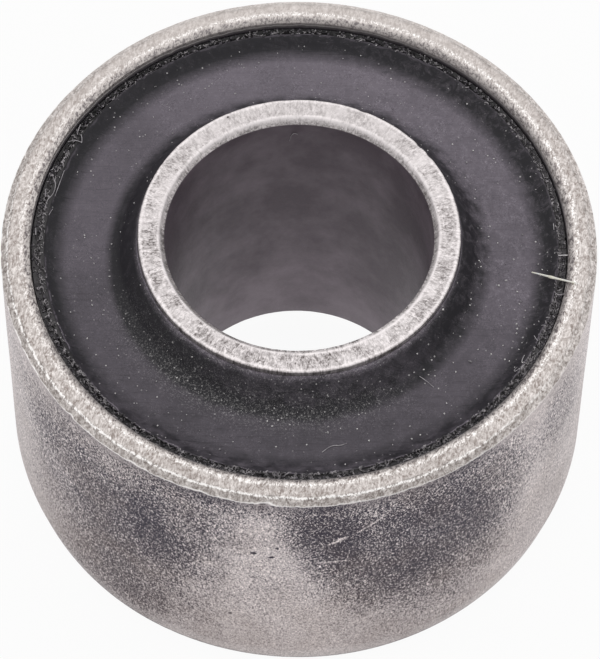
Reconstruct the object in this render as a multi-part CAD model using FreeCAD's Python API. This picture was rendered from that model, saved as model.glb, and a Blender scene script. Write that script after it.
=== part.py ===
import FreeCAD, Part
import math
import os

# Rubber metal bush: a thick rubber ring bonded between a plain steel tube and a steel sleeve.
# A bolt clamps the tube, the sleeve is pressed into a housing, and the rubber lets them twist and rock.
# Lengths are in millimetres. The bush stands on the lower end of its tube. The origin is the centre
# of that end, and +Z runs up the bore.

# Steel sleeve, pressed into the housing
SLEEVE_OUTER_DIAMETER = 55.5
SLEEVE_WALL = 2.75
SLEEVE_LENGTH = 31.5
SLEEVE_EDGE_CHAMFER = 0.7  # upper outer edge, at 45 degrees
SLEEVE_MOUTH_CHAMFER = 0.7  # inner edge of both ends, at 45 degrees
LEAD_IN_LENGTH = 2.5  # slim taper round the lower end, which starts the press fit
LEAD_IN_DEPTH = 0.52

# Steel tube, clamped by the bolt
BORE_DIAMETER = 25.0
TUBE_WALL = 2.5
TUBE_LENGTH = 35.0
TUBE_PROUD_ABOVE = 1.45  # height of the tube's upper end above the sleeve
BORE_CHAMFER_DEPTH = 0.65  # along the bore, at both ends
BORE_CHAMFER_WIDTH = 0.5  # across the end face

# Rubber ring, moulded on to both steels, with the same hollow at both ends
BARE_TUBE_END = 0.6  # steel left bare between the rubber's feather edge and the tube's end
COLLAR_LEAN = 35.0  # degrees between the tube and the collar of rubber that climbs it
COLLAR_ROOT_RADIUS = 2.0  # fillet where the collar runs out into the hollow
HOLLOW_DEPTH = 2.2  # floor of the hollow, below the sleeve's end
RAMP_SLOPE = 38.0  # degrees between the floor and the ramp that climbs to the lip
RAMP_ROOT_RADIUS = 2.8  # fillet where the ramp leaves the floor
LIP_DEPTH = 1.0  # crest of the lip, below the sleeve's end
LIP_WIDTH = 0.4
GROOVE_WIDTH = 0.5  # trimmed gap between the lip and the sleeve
GROOVE_DEPTH = 0.7  # below the lip's crest

# Radii that the pieces share: the rubber is bonded face to face, so it has no clearance
SLEEVE_OUTER_RADIUS = SLEEVE_OUTER_DIAMETER / 2
SLEEVE_INNER_RADIUS = SLEEVE_OUTER_RADIUS - SLEEVE_WALL
BORE_RADIUS = BORE_DIAMETER / 2
TUBE_OUTER_RADIUS = BORE_RADIUS + TUBE_WALL

# Heights
TUBE_BOTTOM = 0.0
TUBE_TOP = TUBE_BOTTOM + TUBE_LENGTH
SLEEVE_TOP = TUBE_TOP - TUBE_PROUD_ABOVE
SLEEVE_BOTTOM = SLEEVE_TOP - SLEEVE_LENGTH

UP = 1
DOWN = -1


def point(radius, height):
    """A point of an outline, in the half plane on the +X side of the axis."""
    return FreeCAD.Vector(radius, 0, height)


def run_of_lines(points):
    """Straight edges through the points in order."""
    edges = []
    for start, end in zip(points[:-1], points[1:]):
        edges.append(Part.LineSegment(start, end).toShape())
    return edges


def fillet_at(before, corner, after, radius):
    """A tangent arc of this radius, which rounds the corner between two straight legs."""
    to_before = (before - corner).normalize()
    to_after = (after - corner).normalize()
    half_angle = to_before.getAngle(to_after) / 2
    trim = radius / math.tan(half_angle)
    inwards = (to_before + to_after).normalize()
    start = corner + to_before * trim
    middle = corner + inwards * (radius / math.sin(half_angle) - radius)
    end = corner + to_after * trim
    return start, Part.Arc(start, middle, end).toShape(), end


def full_turn(edges):
    """The solid that a closed outline sweeps in a full turn about the axis."""
    face = Part.Face(Part.Wire(Part.__sortEdges__(edges)))
    return face.revolve(FreeCAD.Vector(0, 0, 0), FreeCAD.Vector(0, 0, 1), 360)


def outer_sleeve():
    """Sleeve with a chamfered upper edge, chamfered mouths and a lead-in taper below."""
    mouth_radius = SLEEVE_INNER_RADIUS + SLEEVE_MOUTH_CHAMFER
    outline = [
        point(SLEEVE_INNER_RADIUS, SLEEVE_BOTTOM + SLEEVE_MOUTH_CHAMFER),
        point(mouth_radius, SLEEVE_BOTTOM),
        point(SLEEVE_OUTER_RADIUS - LEAD_IN_DEPTH, SLEEVE_BOTTOM),
        point(SLEEVE_OUTER_RADIUS, SLEEVE_BOTTOM + LEAD_IN_LENGTH),
        point(SLEEVE_OUTER_RADIUS, SLEEVE_TOP - SLEEVE_EDGE_CHAMFER),
        point(SLEEVE_OUTER_RADIUS - SLEEVE_EDGE_CHAMFER, SLEEVE_TOP),
        point(mouth_radius, SLEEVE_TOP),
        point(SLEEVE_INNER_RADIUS, SLEEVE_TOP - SLEEVE_MOUTH_CHAMFER),
    ]
    return full_turn(run_of_lines(outline + outline[:1]))


def inner_tube():
    """Plain tube, sawn square, with the ends of its bore chamfered."""
    outline = [
        point(BORE_RADIUS, TUBE_BOTTOM + BORE_CHAMFER_DEPTH),
        point(BORE_RADIUS + BORE_CHAMFER_WIDTH, TUBE_BOTTOM),
        point(TUBE_OUTER_RADIUS, TUBE_BOTTOM),
        point(TUBE_OUTER_RADIUS, TUBE_TOP),
        point(BORE_RADIUS + BORE_CHAMFER_WIDTH, TUBE_TOP),
        point(BORE_RADIUS, TUBE_TOP - BORE_CHAMFER_DEPTH),
    ]
    return full_turn(run_of_lines(outline + outline[:1]))


def rubber_end(tube_end, sleeve_end, outward):
    """Outline of one end of the rubber, from the tube to the sleeve, and its first and last points.

    It runs down the collar on the tube, across the floor of the hollow, up the ramp, over the lip and
    into the groove beside the sleeve. The lower end, where outward is DOWN, mirrors the upper one.
    """
    collar_height = tube_end - outward * BARE_TUBE_END
    floor_height = sleeve_end - outward * HOLLOW_DEPTH
    crest_height = sleeve_end - outward * LIP_DEPTH
    groove_height = crest_height - outward * GROOVE_DEPTH
    collar_rise = abs(collar_height - floor_height)
    ramp_rise = abs(crest_height - floor_height)
    lip_outer_radius = SLEEVE_INNER_RADIUS - GROOVE_WIDTH
    lip_inner_radius = lip_outer_radius - LIP_WIDTH

    feather_edge = point(TUBE_OUTER_RADIUS, collar_height)
    collar_foot = point(
        TUBE_OUTER_RADIUS + collar_rise * math.tan(math.radians(COLLAR_LEAN)),
        floor_height,
    )
    ramp_foot = point(
        lip_inner_radius - ramp_rise / math.tan(math.radians(RAMP_SLOPE)),
        floor_height,
    )
    lip_inner_edge = point(lip_inner_radius, crest_height)
    wall_point = point(SLEEVE_INNER_RADIUS, groove_height)

    collar_end, collar_fillet, floor_start = fillet_at(
        feather_edge, collar_foot, ramp_foot, COLLAR_ROOT_RADIUS
    )
    floor_end, ramp_fillet, ramp_start = fillet_at(
        collar_foot, ramp_foot, lip_inner_edge, RAMP_ROOT_RADIUS
    )
    edges = [collar_fillet, ramp_fillet]
    edges += run_of_lines([feather_edge, collar_end])
    edges += run_of_lines([floor_start, floor_end])
    edges += run_of_lines([ramp_start, lip_inner_edge, point(lip_outer_radius, crest_height)])
    edges += run_of_lines(
        [point(lip_outer_radius, crest_height), point(lip_outer_radius, groove_height), wall_point]
    )
    return edges, feather_edge, wall_point


def rubber_ring():
    """Rubber between the tube and the sleeve, hollowed at both ends."""
    upper_edges, upper_inner, upper_outer = rubber_end(TUBE_TOP, SLEEVE_TOP, UP)
    lower_edges, lower_inner, lower_outer = rubber_end(TUBE_BOTTOM, SLEEVE_BOTTOM, DOWN)
    sides = run_of_lines([upper_inner, lower_inner]) + run_of_lines([upper_outer, lower_outer])
    return full_turn(upper_edges + sides + lower_edges)


PIECES = {
    "outer_sleeve": outer_sleeve,
    "rubber_ring": rubber_ring,
    "inner_tube": inner_tube,
}

os.makedirs("parts", exist_ok=True)
for name, make in PIECES.items():
    make().exportStep("parts/" + name + ".step")
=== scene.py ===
"""Rubber metal bush: a rubber ring bonded between a steel tube and a steel sleeve, in a plain studio.

Blender 4.5 script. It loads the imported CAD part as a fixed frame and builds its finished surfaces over
it. Lengths are in metres and written as millimetres times MM. The bush stands on its tube, with +Z up
the bore.
"""

import math
import random

import bmesh
import bpy
from bpy.props import (
    FloatProperty,
    FloatVectorProperty,
    IntProperty,
    PointerProperty,
)
from mathutils import Euler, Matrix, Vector, noise
from mathutils.bvhtree import BVHTree


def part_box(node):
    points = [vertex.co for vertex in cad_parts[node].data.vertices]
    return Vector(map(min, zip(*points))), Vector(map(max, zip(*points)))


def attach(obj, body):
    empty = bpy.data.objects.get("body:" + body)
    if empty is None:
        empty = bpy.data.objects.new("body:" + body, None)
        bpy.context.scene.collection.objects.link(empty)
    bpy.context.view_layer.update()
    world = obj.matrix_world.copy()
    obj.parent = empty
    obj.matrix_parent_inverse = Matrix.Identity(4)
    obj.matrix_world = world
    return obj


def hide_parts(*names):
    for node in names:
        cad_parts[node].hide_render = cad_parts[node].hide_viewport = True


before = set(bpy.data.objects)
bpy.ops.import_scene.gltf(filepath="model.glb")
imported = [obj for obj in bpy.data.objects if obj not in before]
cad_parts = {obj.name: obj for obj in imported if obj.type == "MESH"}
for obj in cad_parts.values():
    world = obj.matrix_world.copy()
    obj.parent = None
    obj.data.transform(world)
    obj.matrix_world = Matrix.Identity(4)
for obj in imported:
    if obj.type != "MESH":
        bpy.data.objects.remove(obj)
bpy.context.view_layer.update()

bl_info = {
    "name": "Rubber Metal Bush",
    "version": (1, 0, 0),
    "blender": (4, 5, 0),
    "location": "3D View > Sidebar > Bush",
    "description": "Builds a bonded rubber and steel bush with its wear and dust, and a studio",
    "category": "Object",
}

MM = 0.001
BODY = "root"

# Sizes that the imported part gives
SLEEVE_LOW, SLEEVE_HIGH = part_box("outer_sleeve")
TUBE_LOW, TUBE_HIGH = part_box("inner_tube")

# Every ring is turned in the same steps, so that faces that touch share their chords. One sector is
# spun from the outline and then repeated round the ring, which is many times faster
SECTORS = 36
SECTOR_STEPS = 25
FULL_TURN = 2 * math.pi
SECTOR_TURN = FULL_TURN / SECTORS
WELD = 0.0005 * MM  # vertices this close become one
HIDDEN_SPACING = 4 * MM  # steps of an outline where another piece or the floor hides it
DROP = 5 * MM  # height above the tube from which dirt is dropped
DIRT_SEED = 11


def linear(hex_colour):
    """Linear red, green and blue from an sRGB hex value."""
    shares = [int(hex_colour[place : place + 2], 16) / 255 for place in (0, 2, 4)]
    return [s / 12.92 if s <= 0.04045 else ((s + 0.055) / 1.055) ** 2.4 for s in shares]


def length_property(name, description, default):
    """A length that a user may change, in metres."""
    return FloatProperty(
        name=name,
        description=description,
        default=default,
        min=0.0,
        precision=5,
        subtype="DISTANCE",
        unit="LENGTH",
    )


def colour_property(name, description, hex_colour):
    """A colour that a user may change."""
    return FloatVectorProperty(
        name=name,
        description=description,
        default=linear(hex_colour),
        size=3,
        min=0.0,
        max=1.0,
        subtype="COLOR",
    )


class SleeveSettings(bpy.types.PropertyGroup):
    """Sizes and colours of the outer sleeve."""

    outer_radius: length_property(
        "Outer radius", "Radius that is pressed into the housing", SLEEVE_HIGH.x
    )
    wall: length_property("Wall", "Thickness of the sleeve", 2.75 * MM)
    bottom: length_property("Bottom", "Height of the lower end", SLEEVE_LOW.z)
    top: length_property("Top", "Height of the upper end", SLEEVE_HIGH.z)
    edge_chamfer: length_property("Edge chamfer", "Chamfer of the upper outer edge", 0.7 * MM)
    mouth_chamfer: length_property(
        "Mouth chamfer", "Inner edge of both ends, chamfered below and rounded above", 0.7 * MM
    )
    lead_in_length: length_property("Lead-in length", "Length of the taper below", 2.5 * MM)
    lead_in_depth: length_property("Lead-in depth", "Depth of the taper below", 0.52 * MM)
    # Light and dark steel are the two ends of the wall's tone, which holds painted reflections and
    # painted glints as well as the blast's speckle. Dark steel also paints shade on the lowest edge and
    # down into the gap
    light_steel: colour_property("Light steel", "Blasted wall where it is clean", "E2D8D7")
    dark_steel_and_shade: colour_property("Dark steel", "Pits and oiled patches of the wall", "35303E")
    brown_steel: colour_property("Brown steel", "Old oil low on the wall", "75655C")
    cut_steel: colour_property("Cut steel", "Ground end face and chamfers", "A69E9A")
    bright_steel: colour_property("Bright steel", "Marks and edges that are burnished", "DCD6D3")
    # This colour paints the highlights along the sleeve's edges
    edge_highlight_steel: colour_property("Burr steel", "Fine burrs along the edges", "F6F3F1")


class RubberSettings(bpy.types.PropertyGroup):
    """Sizes and colours of the rubber."""

    bare_tube_end: length_property("Bare tube end", "Steel left bare above the rubber", 0.6 * MM)
    collar_foot: length_property("Collar foot", "Width of the collar at its foot", 2.136 * MM)
    collar_round: length_property("Collar round", "Fillet between collar and floor", 2.0 * MM)
    hollow_depth: length_property("Hollow depth", "Floor below the sleeve's end", 2.2 * MM)
    ramp_width: length_property("Ramp width", "From the floor to the lip, level", 1.536 * MM)
    ramp_round: length_property("Ramp round", "Fillet between floor and ramp", 2.8 * MM)
    lip_depth: length_property(
        "Lip depth", "Rim of the moulded skin below the sleeve's end", 1.0 * MM
    )
    rim_width: length_property("Rim width", "Width of the skin's thin rim", 0.12 * MM)
    torn_width: length_property("Torn width", "Flash torn off between rim and gap", 0.66 * MM)
    torn_drop: length_property("Torn drop", "Torn rubber below the rim", 0.12 * MM)
    gap_width: length_property("Gap width", "Gap beside the sleeve", 0.12 * MM)
    gap_depth: length_property("Gap depth", "Gap below the rim", 0.7 * MM)
    black_rubber: colour_property("Black rubber", "Clean rubber, on slopes and in the groove", "1C1A1F")
    # This colour paints the flats, whose lightness is partly bloom and dust and partly a painted sheen,
    # and the painted glints on the crumbs
    bloom_and_sheen_rubber: colour_property("Bloomed rubber", "Wax bloom and fine dust on the flats", "68626A")
    torn_rubber: colour_property("Torn rubber", "Freshly torn edge", "191719")
    # This colour paints the shreds pale, for dust and for painted glints
    shred_and_glint_rubber: colour_property("Shred rubber", "Dusty threads on the torn edge", "B8B3B6")


class TubeSettings(bpy.types.PropertyGroup):
    """Sizes and colours of the inner tube."""

    bore_radius: length_property("Bore radius", "Radius of the bolt's bore", 12.5 * MM)
    outer_radius: length_property("Outer radius", "Outside of the tube", TUBE_HIGH.x)
    bottom: length_property("Bottom", "Height of the lower end", TUBE_LOW.z)
    top: length_property("Top", "Height of the upper end", TUBE_HIGH.z)
    bore_chamfer_depth: length_property("Chamfer depth", "Bore chamfer along the bore", 0.65 * MM)
    bore_chamfer_width: length_property("Chamfer width", "Bore chamfer across the face", 0.5 * MM)
    cut_steel: colour_property("Cut steel", "Dark grain of the faced end", "7B7574")
    # Bright steel also paints the highlights along the tube's edges
    bright_steel: colour_property("Bright steel", "Marks and edges that are burnished", "E0DADA")
    bore_steel: colour_property("Bore steel", "Dark mill scale in the bore", "62575F")
    worn_bore: colour_property("Worn bore", "Scale rubbed thin low in the bore", "8F848C")
    band_steel: colour_property("Band steel", "Bonding agent above the rubber", "3E3836")


class DirtSettings(bpy.types.PropertyGroup):
    """Amounts and colours of loose dirt."""

    grains: IntProperty(name="Grains", description="Dust grains on the rubber", default=260, min=0)
    crumbs: IntProperty(
        name="Crumbs", description="Rubber crumbs on the torn edge", default=900, min=0
    )
    shreds: IntProperty(
        name="Shreds", description="Curled shreds on the torn edge", default=1350, min=0
    )
    grain_colour: colour_property("Grain colour", "Pale mineral dust", "F2EFEE")
    dim_colour: colour_property("Dim colour", "Darker grains and the shaded side of lint", "8A868A")
    straw_colour: colour_property("Straw colour", "Dry straw fibre", "FFFFFF")
    husk_colour: colour_property("Husk colour", "Yellower parts of the straw", "FFFBEA")
    lint_colour: colour_property("Lint colour", "Cotton lint", "CBC6CA")


class StageSettings(bpy.types.PropertyGroup):
    """Floor, light and camera."""

    floor_radius: length_property("Floor radius", "Radius of the round floor", 1.5)
    floor_colour: colour_property("Floor colour", "Pale painted floor", "F4F4F4")
    camera_place: FloatVectorProperty(
        name="Camera place",
        description="Where the photograph was taken from",
        default=(0.0, -0.217538, 0.377897),
        size=3,
        subtype="TRANSLATION",
        unit="LENGTH",
    )
    camera_turn: FloatVectorProperty(
        name="Camera turn",
        description="Turn of the camera about X, Y and Z",
        default=[math.radians(degrees) for degrees in (31.1294, -0.4358, 0.6685)],
        size=3,
        subtype="EULER",
        unit="ROTATION",
    )
    camera_lens: FloatProperty(
        name="Lens",
        description="Focal length for a 36 mm sensor along the long side",
        default=239.65,
        min=1.0,
        unit="CAMERA",
    )
    top_light: FloatProperty(
        name="Top light", description="Power of the softbox above", default=2.4, min=0.0, unit="POWER"
    )
    side_light: FloatProperty(
        name="Side light",
        description="Power of each softbox at the sides",
        default=0.5,
        min=0.0,
        unit="POWER",
    )
    room_light: FloatProperty(
        name="Room light",
        description="Strength of the light that the pale room gives back",
        default=0.57,
        min=0.0,
        subtype="FACTOR",
    )


# Mesh making


def tangent_length(before, corner, after, radius):
    """How far from a corner a fillet of this radius leaves its two legs."""
    to_before = (before - corner).normalized()
    to_after = (after - corner).normalized()
    return radius / math.tan(to_before.angle(to_after) / 2)


def spin_about_axis(mesh, geometry, angle, steps, duplicate):
    """Spins geometry about Z, as a surface or as copies."""
    bmesh.ops.spin(
        mesh,
        geom=geometry,
        cent=(0.0, 0.0, 0.0),
        axis=(0.0, 0.0, 1.0),
        dvec=(0.0, 0.0, 0.0),
        angle=angle,
        steps=steps,
        use_merge=False,
        use_duplicate=duplicate,
    )


def ring_from_outline(corners, spacing_at):
    """A bmesh ring, spun from a closed outline of (radius, height, rounding) corners.

    Each corner is rounded in the flat, each leg is divided as finely as spacing_at says for its
    middle, and the outline is then spun a full turn about Z.
    """
    mesh = bmesh.new()
    places = [Vector((radius, 0.0, height)) for radius, height, _ in corners]
    verts = [mesh.verts.new(place) for place in places]
    mesh.faces.new(verts)
    for index, (_, _, rounding) in enumerate(corners):
        if rounding == 0.0:
            continue
        before = places[index - 1]
        after = places[(index + 1) % len(places)]
        reach = tangent_length(before, places[index], after, rounding)
        # From 3 to 10 facets, and the more the finer the steps are there
        segments = max(3, min(10, round(3 * reach / spacing_at(places[index]))))
        bmesh.ops.bevel(
            mesh,
            geom=[verts[index]],
            offset=reach,
            offset_type="OFFSET",
            segments=segments,
            profile=0.5,
            affect="VERTICES",
            material=-1,
        )
    bmesh.ops.delete(mesh, geom=list(mesh.faces), context="FACES_ONLY")
    for edge in list(mesh.edges):
        middle = (edge.verts[0].co + edge.verts[1].co) / 2
        cuts = int(edge.calc_length() / spacing_at(middle))
        if cuts > 0:
            bmesh.ops.subdivide_edges(mesh, edges=[edge], cuts=cuts)
    outline = mesh.verts[:] + mesh.edges[:]
    spin_about_axis(mesh, outline, SECTOR_TURN, SECTOR_STEPS, False)
    sector = mesh.verts[:] + mesh.edges[:] + mesh.faces[:]
    spin_about_axis(mesh, sector, FULL_TURN - SECTOR_TURN, SECTORS - 1, True)
    bmesh.ops.remove_doubles(mesh, verts=mesh.verts, dist=WELD)
    bmesh.ops.recalc_face_normals(mesh, faces=mesh.faces)
    return mesh


def sink(mesh, depth_at):
    """Moves each vertex inwards along its normal, by the depth that depth_at gives for its place."""
    mesh.normal_update()
    moves = [(vert, vert.normal * depth_at(vert.co)) for vert in mesh.verts]
    for vert, move in moves:
        vert.co -= move


def unevenness(place, size, seed):
    """Smooth noise from 0 to 1, whose bumps are about this size across."""
    return 0.5 + 0.5 * noise.noise(place / size + Vector((seed, 2 * seed, 3 * seed)))


def near(value, centre, half_width):
    """1 at the centre, falling smoothly to 0 at half_width from it."""
    share = min(abs(value - centre) / half_width, 1.0)
    return (1.0 - share * share) ** 2


def around(angle_degrees, radius, height):
    """A place on the ring, from its angle about Z, radius and height."""
    angle = math.radians(angle_degrees)
    return Vector((radius * math.cos(angle), radius * math.sin(angle), height))


def dents_at(place, dents):
    """Depth that small dents, each (centre, size, depth), take out of a surface at a place."""
    depth = 0.0
    for centre, size, deepest in dents:
        depth += deepest * near((place - centre).length, 0.0, size)
    return depth


def finished_piece(name, mesh, material, node=None):
    """Makes an object of the bmesh, smooth shaded, which rides on the frame's body."""
    data = bpy.data.meshes.new(name)
    mesh.to_mesh(data)
    mesh.free()
    for polygon in data.polygons:
        polygon.use_smooth = True
    data.materials.append(material)
    piece = bpy.data.objects.new(name, data)
    bpy.context.scene.collection.objects.link(piece)
    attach(piece, BODY)
    if node:
        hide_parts(node)
    return piece


# Materials


def add_node(tree, kind, links=None, **settings):
    """Adds a node with its settings, then gives its inputs values, sockets or other nodes' outputs."""
    node = tree.nodes.new(kind)
    for name, value in settings.items():
        setattr(node, name, value)
    for name, value in (links or {}).items():
        if isinstance(name, int):
            socket = node.inputs[name]
        else:
            socket = next(s for s in node.inputs if s.enabled and s.name == name)
        if isinstance(value, bpy.types.Node):
            value = next(s for s in value.outputs if s.enabled)
        if isinstance(value, bpy.types.NodeSocket):
            tree.links.new(value, socket)
        else:
            socket.default_value = value
    return node


def new_material(name):
    """An empty material with one Principled shader."""
    material = bpy.data.materials.new(name)
    material.use_nodes = True
    tree = material.node_tree
    tree.nodes.clear()
    shader = add_node(tree, "ShaderNodeBsdfPrincipled")
    add_node(tree, "ShaderNodeOutputMaterial", {"Surface": shader})
    return material, tree, shader


def opaque(colour):
    """A colour setting as red, green, blue and alpha."""
    return (*colour, 1.0)


def ring_coordinates(tree):
    """The nodes that ring materials read, in millimetres.

    They give the place, the direction out from the axis, the radius, and the height.
    """
    texture = add_node(tree, "ShaderNodeTexCoord")
    place = add_node(
        tree,
        "ShaderNodeVectorMath",
        {0: texture.outputs["Object"], "Scale": 1 / MM},
        operation="SCALE",
    )
    level = add_node(
        tree, "ShaderNodeVectorMath", {0: place, 1: (1.0, 1.0, 0.0)}, operation="MULTIPLY"
    )
    radius = add_node(tree, "ShaderNodeVectorMath", {0: level}, operation="LENGTH")
    outward = add_node(tree, "ShaderNodeVectorMath", {0: level}, operation="NORMALIZE")
    height = add_node(tree, "ShaderNodeSeparateXYZ", {0: place}).outputs["Z"]
    return place, outward, radius, height


def streak_place(tree, outward, radius, radius_of_face, stretch):
    """Coordinates whose noise is drawn out along the radius, with no seam round the ring."""
    turned = add_node(
        tree, "ShaderNodeVectorMath", {0: outward, "Scale": radius_of_face}, operation="SCALE"
    )
    slow = add_node(tree, "ShaderNodeMath", {0: radius, 1: stretch}, operation="MULTIPLY")
    lift = add_node(tree, "ShaderNodeCombineXYZ", {"Z": slow})
    return add_node(tree, "ShaderNodeVectorMath", {0: turned, 1: lift}, operation="ADD")


def add_patches(tree, place, tone, patches):
    """Adds soft patches to a tone.

    Each is (angle, radius, height, half width, half height, tilt, change of tone), in degrees and mm.
    """
    for angle, radius, height, half_width, half_height, tilt, change in patches:
        local = add_node(
            tree,
            "ShaderNodeMapping",
            {
                "Vector": place,
                "Location": around(angle, radius, height),
                "Rotation": (0.0, math.radians(tilt), math.radians(angle + 90)),
                "Scale": (half_width, max(half_width, half_height), half_height),
            },
            vector_type="TEXTURE",
        )
        reach = add_node(tree, "ShaderNodeVectorMath", {0: local}, operation="LENGTH")
        share = add_node(
            tree,
            "ShaderNodeMapRange",
            {"Value": reach, "From Min": 1.0, "From Max": 0.25, "To Min": 0.0, "To Max": change},
            interpolation_type="SMOOTHSTEP",
        )
        tone = add_node(tree, "ShaderNodeMath", {0: tone, 1: share}, operation="ADD")
    return tone


def band(tree, value, centre, half_width, strength):
    """A soft line, strength at the centre and 0 at half_width from it."""
    offset = add_node(tree, "ShaderNodeMath", {0: value, 1: centre}, operation="SUBTRACT")
    away = add_node(tree, "ShaderNodeMath", {0: offset}, operation="ABSOLUTE")
    return add_node(
        tree,
        "ShaderNodeMapRange",
        {"Value": away, "From Min": half_width, "From Max": 0.0, "To Min": 0.0, "To Max": strength},
        interpolation_type="SMOOTHSTEP",
    )


def arc(tree, outward, angle, half_width, strength):
    """A soft sector of the ring, strength in its middle and 0 at half_width degrees from it."""
    facing = add_node(
        tree,
        "ShaderNodeVectorMath",
        {0: outward, 1: around(angle, 1.0, 0.0)},
        operation="DOT_PRODUCT",
    )
    return add_node(
        tree,
        "ShaderNodeMapRange",
        {
            "Value": facing.outputs["Value"],
            "From Min": math.cos(math.radians(half_width)),
            "From Max": 1.0,
            "To Min": 0.0,
            "To Max": strength,
        },
        interpolation_type="SMOOTHSTEP",
    )


def part_ring(tree, radius, outward, ring, sector):
    """A soft ring that fades out round the axis.

    The ring is (radius, half width, strength) in millimetres. The sector is (angle, half width,
    strength) in degrees.
    """
    whole = band(tree, radius, *ring)
    return add_node(
        tree, "ShaderNodeMath", {0: whole, 1: arc(tree, outward, *sector)}, operation="MULTIPLY"
    )


def varied_round(tree, outward, tone, sector, elsewhere):
    """A tone times elsewhere, which changes in one sector: (angle, half width, change) in degrees."""
    share = add_node(
        tree, "ShaderNodeMath", {0: arc(tree, outward, *sector), 1: elsewhere}, operation="ADD"
    )
    return add_node(tree, "ShaderNodeMath", {0: tone, 1: share}, operation="MULTIPLY")


def wandering(tree, value, ripple, reach):
    """A coordinate that a noise pushes to and fro, up to reach, so that lines drawn on it wander."""
    push = add_node(
        tree,
        "ShaderNodeMapRange",
        {"Value": ripple, "From Min": 0.3, "From Max": 0.7, "To Min": -reach, "To Max": reach},
    )
    return add_node(tree, "ShaderNodeMath", {0: value, 1: push}, operation="ADD")


# Real sizes of the patterns, in millimetres
BLAST_PIT = 0.17  # pits left by blasting grit
BLAST_STRETCH = 0.62  # the tube was drawn, which leaves its pits longer than wide
GRIND_LINE = 0.22  # width of the coarse marks across the sleeve's end
GRIND_DENT = 0.6  # crumpled dents among the marks
GRIND_STRETCH = 2.8  # the marks are this many times as long as wide
GRIND_LEAN = -9.0  # degrees between the marks and the Y axis: the ends were ground on a straight belt
SAW_GRAIN = 0.24  # grain of the faced tube end
MOTTLE = 6.0  # cloudy differences in oil and bloom
PATCH_DRIFT = 5.0  # how far the clouds push the edges of the oiled patches about
DUST_CELL = 0.34  # mean distance between specks of fine dust
DUST_RADIUS = 0.07  # drawn twice as large as real dust, which would be lost between pixels
SMUDGE = 0.9  # smudges in the dust on the rubber
RUBBER_GRAIN = 0.12  # fine grain of the moulded skin
TEAR = 0.3  # lumps of the torn edge
WIDE_TEAR = 182.0  # angle at which the tear reaches furthest in from the rim, in degrees
WIDE_TEAR_REACH = 48.0  # degrees to either side of it
WIDE_TEAR_EXTRA = 0.45  # how much further in it reaches there
FLAT_MOUTH = (150.0, 105.0)  # middle and half width of the part of the sleeve's mouth that is flattest
SHALLOW_CHAMFER = (292.0, 90.0)  # middle and half width of the part where the bore's chamfer is least
SHRED_SIDES = (0.0, 180.0, 250.0, 295.0)  # angles round which shreds lie near the rim, in degrees
GRIT = 0.15  # crumbled dust that has gathered into a film
DUST_DRIFT = 1.6  # loose drifts in which dust has gathered
EDGE_RIPPLE = 1.1  # waver of the lines along the sleeve's edges
FACE_RIPPLE = 1.2  # waver and unevenness of the tube's end
SMOOTH_SPOT = 1.9  # parts of the tube's end that came out smoother
CRUMB_TONE = 0.4  # light and dark among the crumbs

# Rings of dust, bloom, painted light and painted shade round the tube: radius, half width and strength
FEATHER_EDGE = (15.0, 0.55, 1.0)
COLLAR_HAZE = (16.5, 3.0, 1.0)
FOOT_BLOOM_AND_LIGHT = (17.2, 1.1, 1.0)
SHADED_FOOT = (17.4, 1.4, 0.34)
FOOT_GRIT = (17.5, 2.8, 1.0)

RUBBER_IOR = 1.52
RUBBER_SPECULAR = 0.27  # low, because dust takes the shine off the skin
TORN_ROUGHNESS = 0.3
STEEL_RELIEF = 0.03 * MM  # depth of the steels' pits and marks
RUBBER_RELIEF = 0.02 * MM  # depth of the skin's grain
FLOOR_WHITE = 0.94  # share of the floor that is seen as plain white, and the rest takes the shadow

# Painted dark and light reflections and oil patches on the sleeve's wall: angle, radius, height, half
# width, half height, tilt, change of tone
PAINTED_REFLECTIONS_AND_OIL_PATCHES = (
    (226.0, 27.75, 17.0, 12.0, 22.0, 0.0, -0.36),
    (235.0, 27.75, 18.0, 9.0, 20.0, 0.0, -0.36),
    (247.0, 27.75, 25.0, 8.0, 12.0, 0.0, -0.5),
    (263.0, 27.75, 34.5, 26.0, 6.5, 0.0, -0.26),
    (203.0, 27.75, 20.0, 8.0, 20.0, 0.0, -0.1),
    (216.0, 27.75, 27.0, 8.0, 9.0, 0.0, -0.24),
    (232.0, 27.75, 5.0, 12.0, 8.0, 0.0, -0.14),
    (242.4, 27.75, 9.0, 1.2, 4.0, 0.0, -0.2),
    (298.0, 27.75, 22.5, 15.0, 17.0, 0.0, -0.82),
    (276.0, 27.75, 27.0, 5.5, 10.0, -6.0, -0.6),
    (297.0, 27.75, 6.0, 9.0, 7.0, 0.0, -0.12),
    (333.0, 27.75, 26.0, 6.5, 10.0, 0.0, -0.25),
    (344.0, 27.75, 31.0, 9.0, 10.0, 0.0, 0.08),
    (260.0, 27.75, 31.8, 6.0, 3.0, 0.0, -0.2),
    (250.0, 27.75, 14.0, 5.0, 13.0, 0.0, -0.2),
    (284.0, 27.75, 16.0, 5.0, 8.0, 0.0, -0.12),
    (320.0, 27.75, 23.0, 5.0, 7.0, 0.0, 0.09),
    (272.0, 27.75, 28.5, 3.5, 4.0, 0.0, -0.2),
    (60.0, 27.75, 20.0, 13.0, 16.0, 10.0, -0.48),
    (118.0, 27.75, 12.0, 11.0, 18.0, -6.0, -0.5),
    (160.0, 27.75, 24.0, 7.0, 11.0, 0.0, -0.32),
    (10.0, 27.75, 12.0, 6.0, 12.0, 5.0, -0.26),
)
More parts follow.
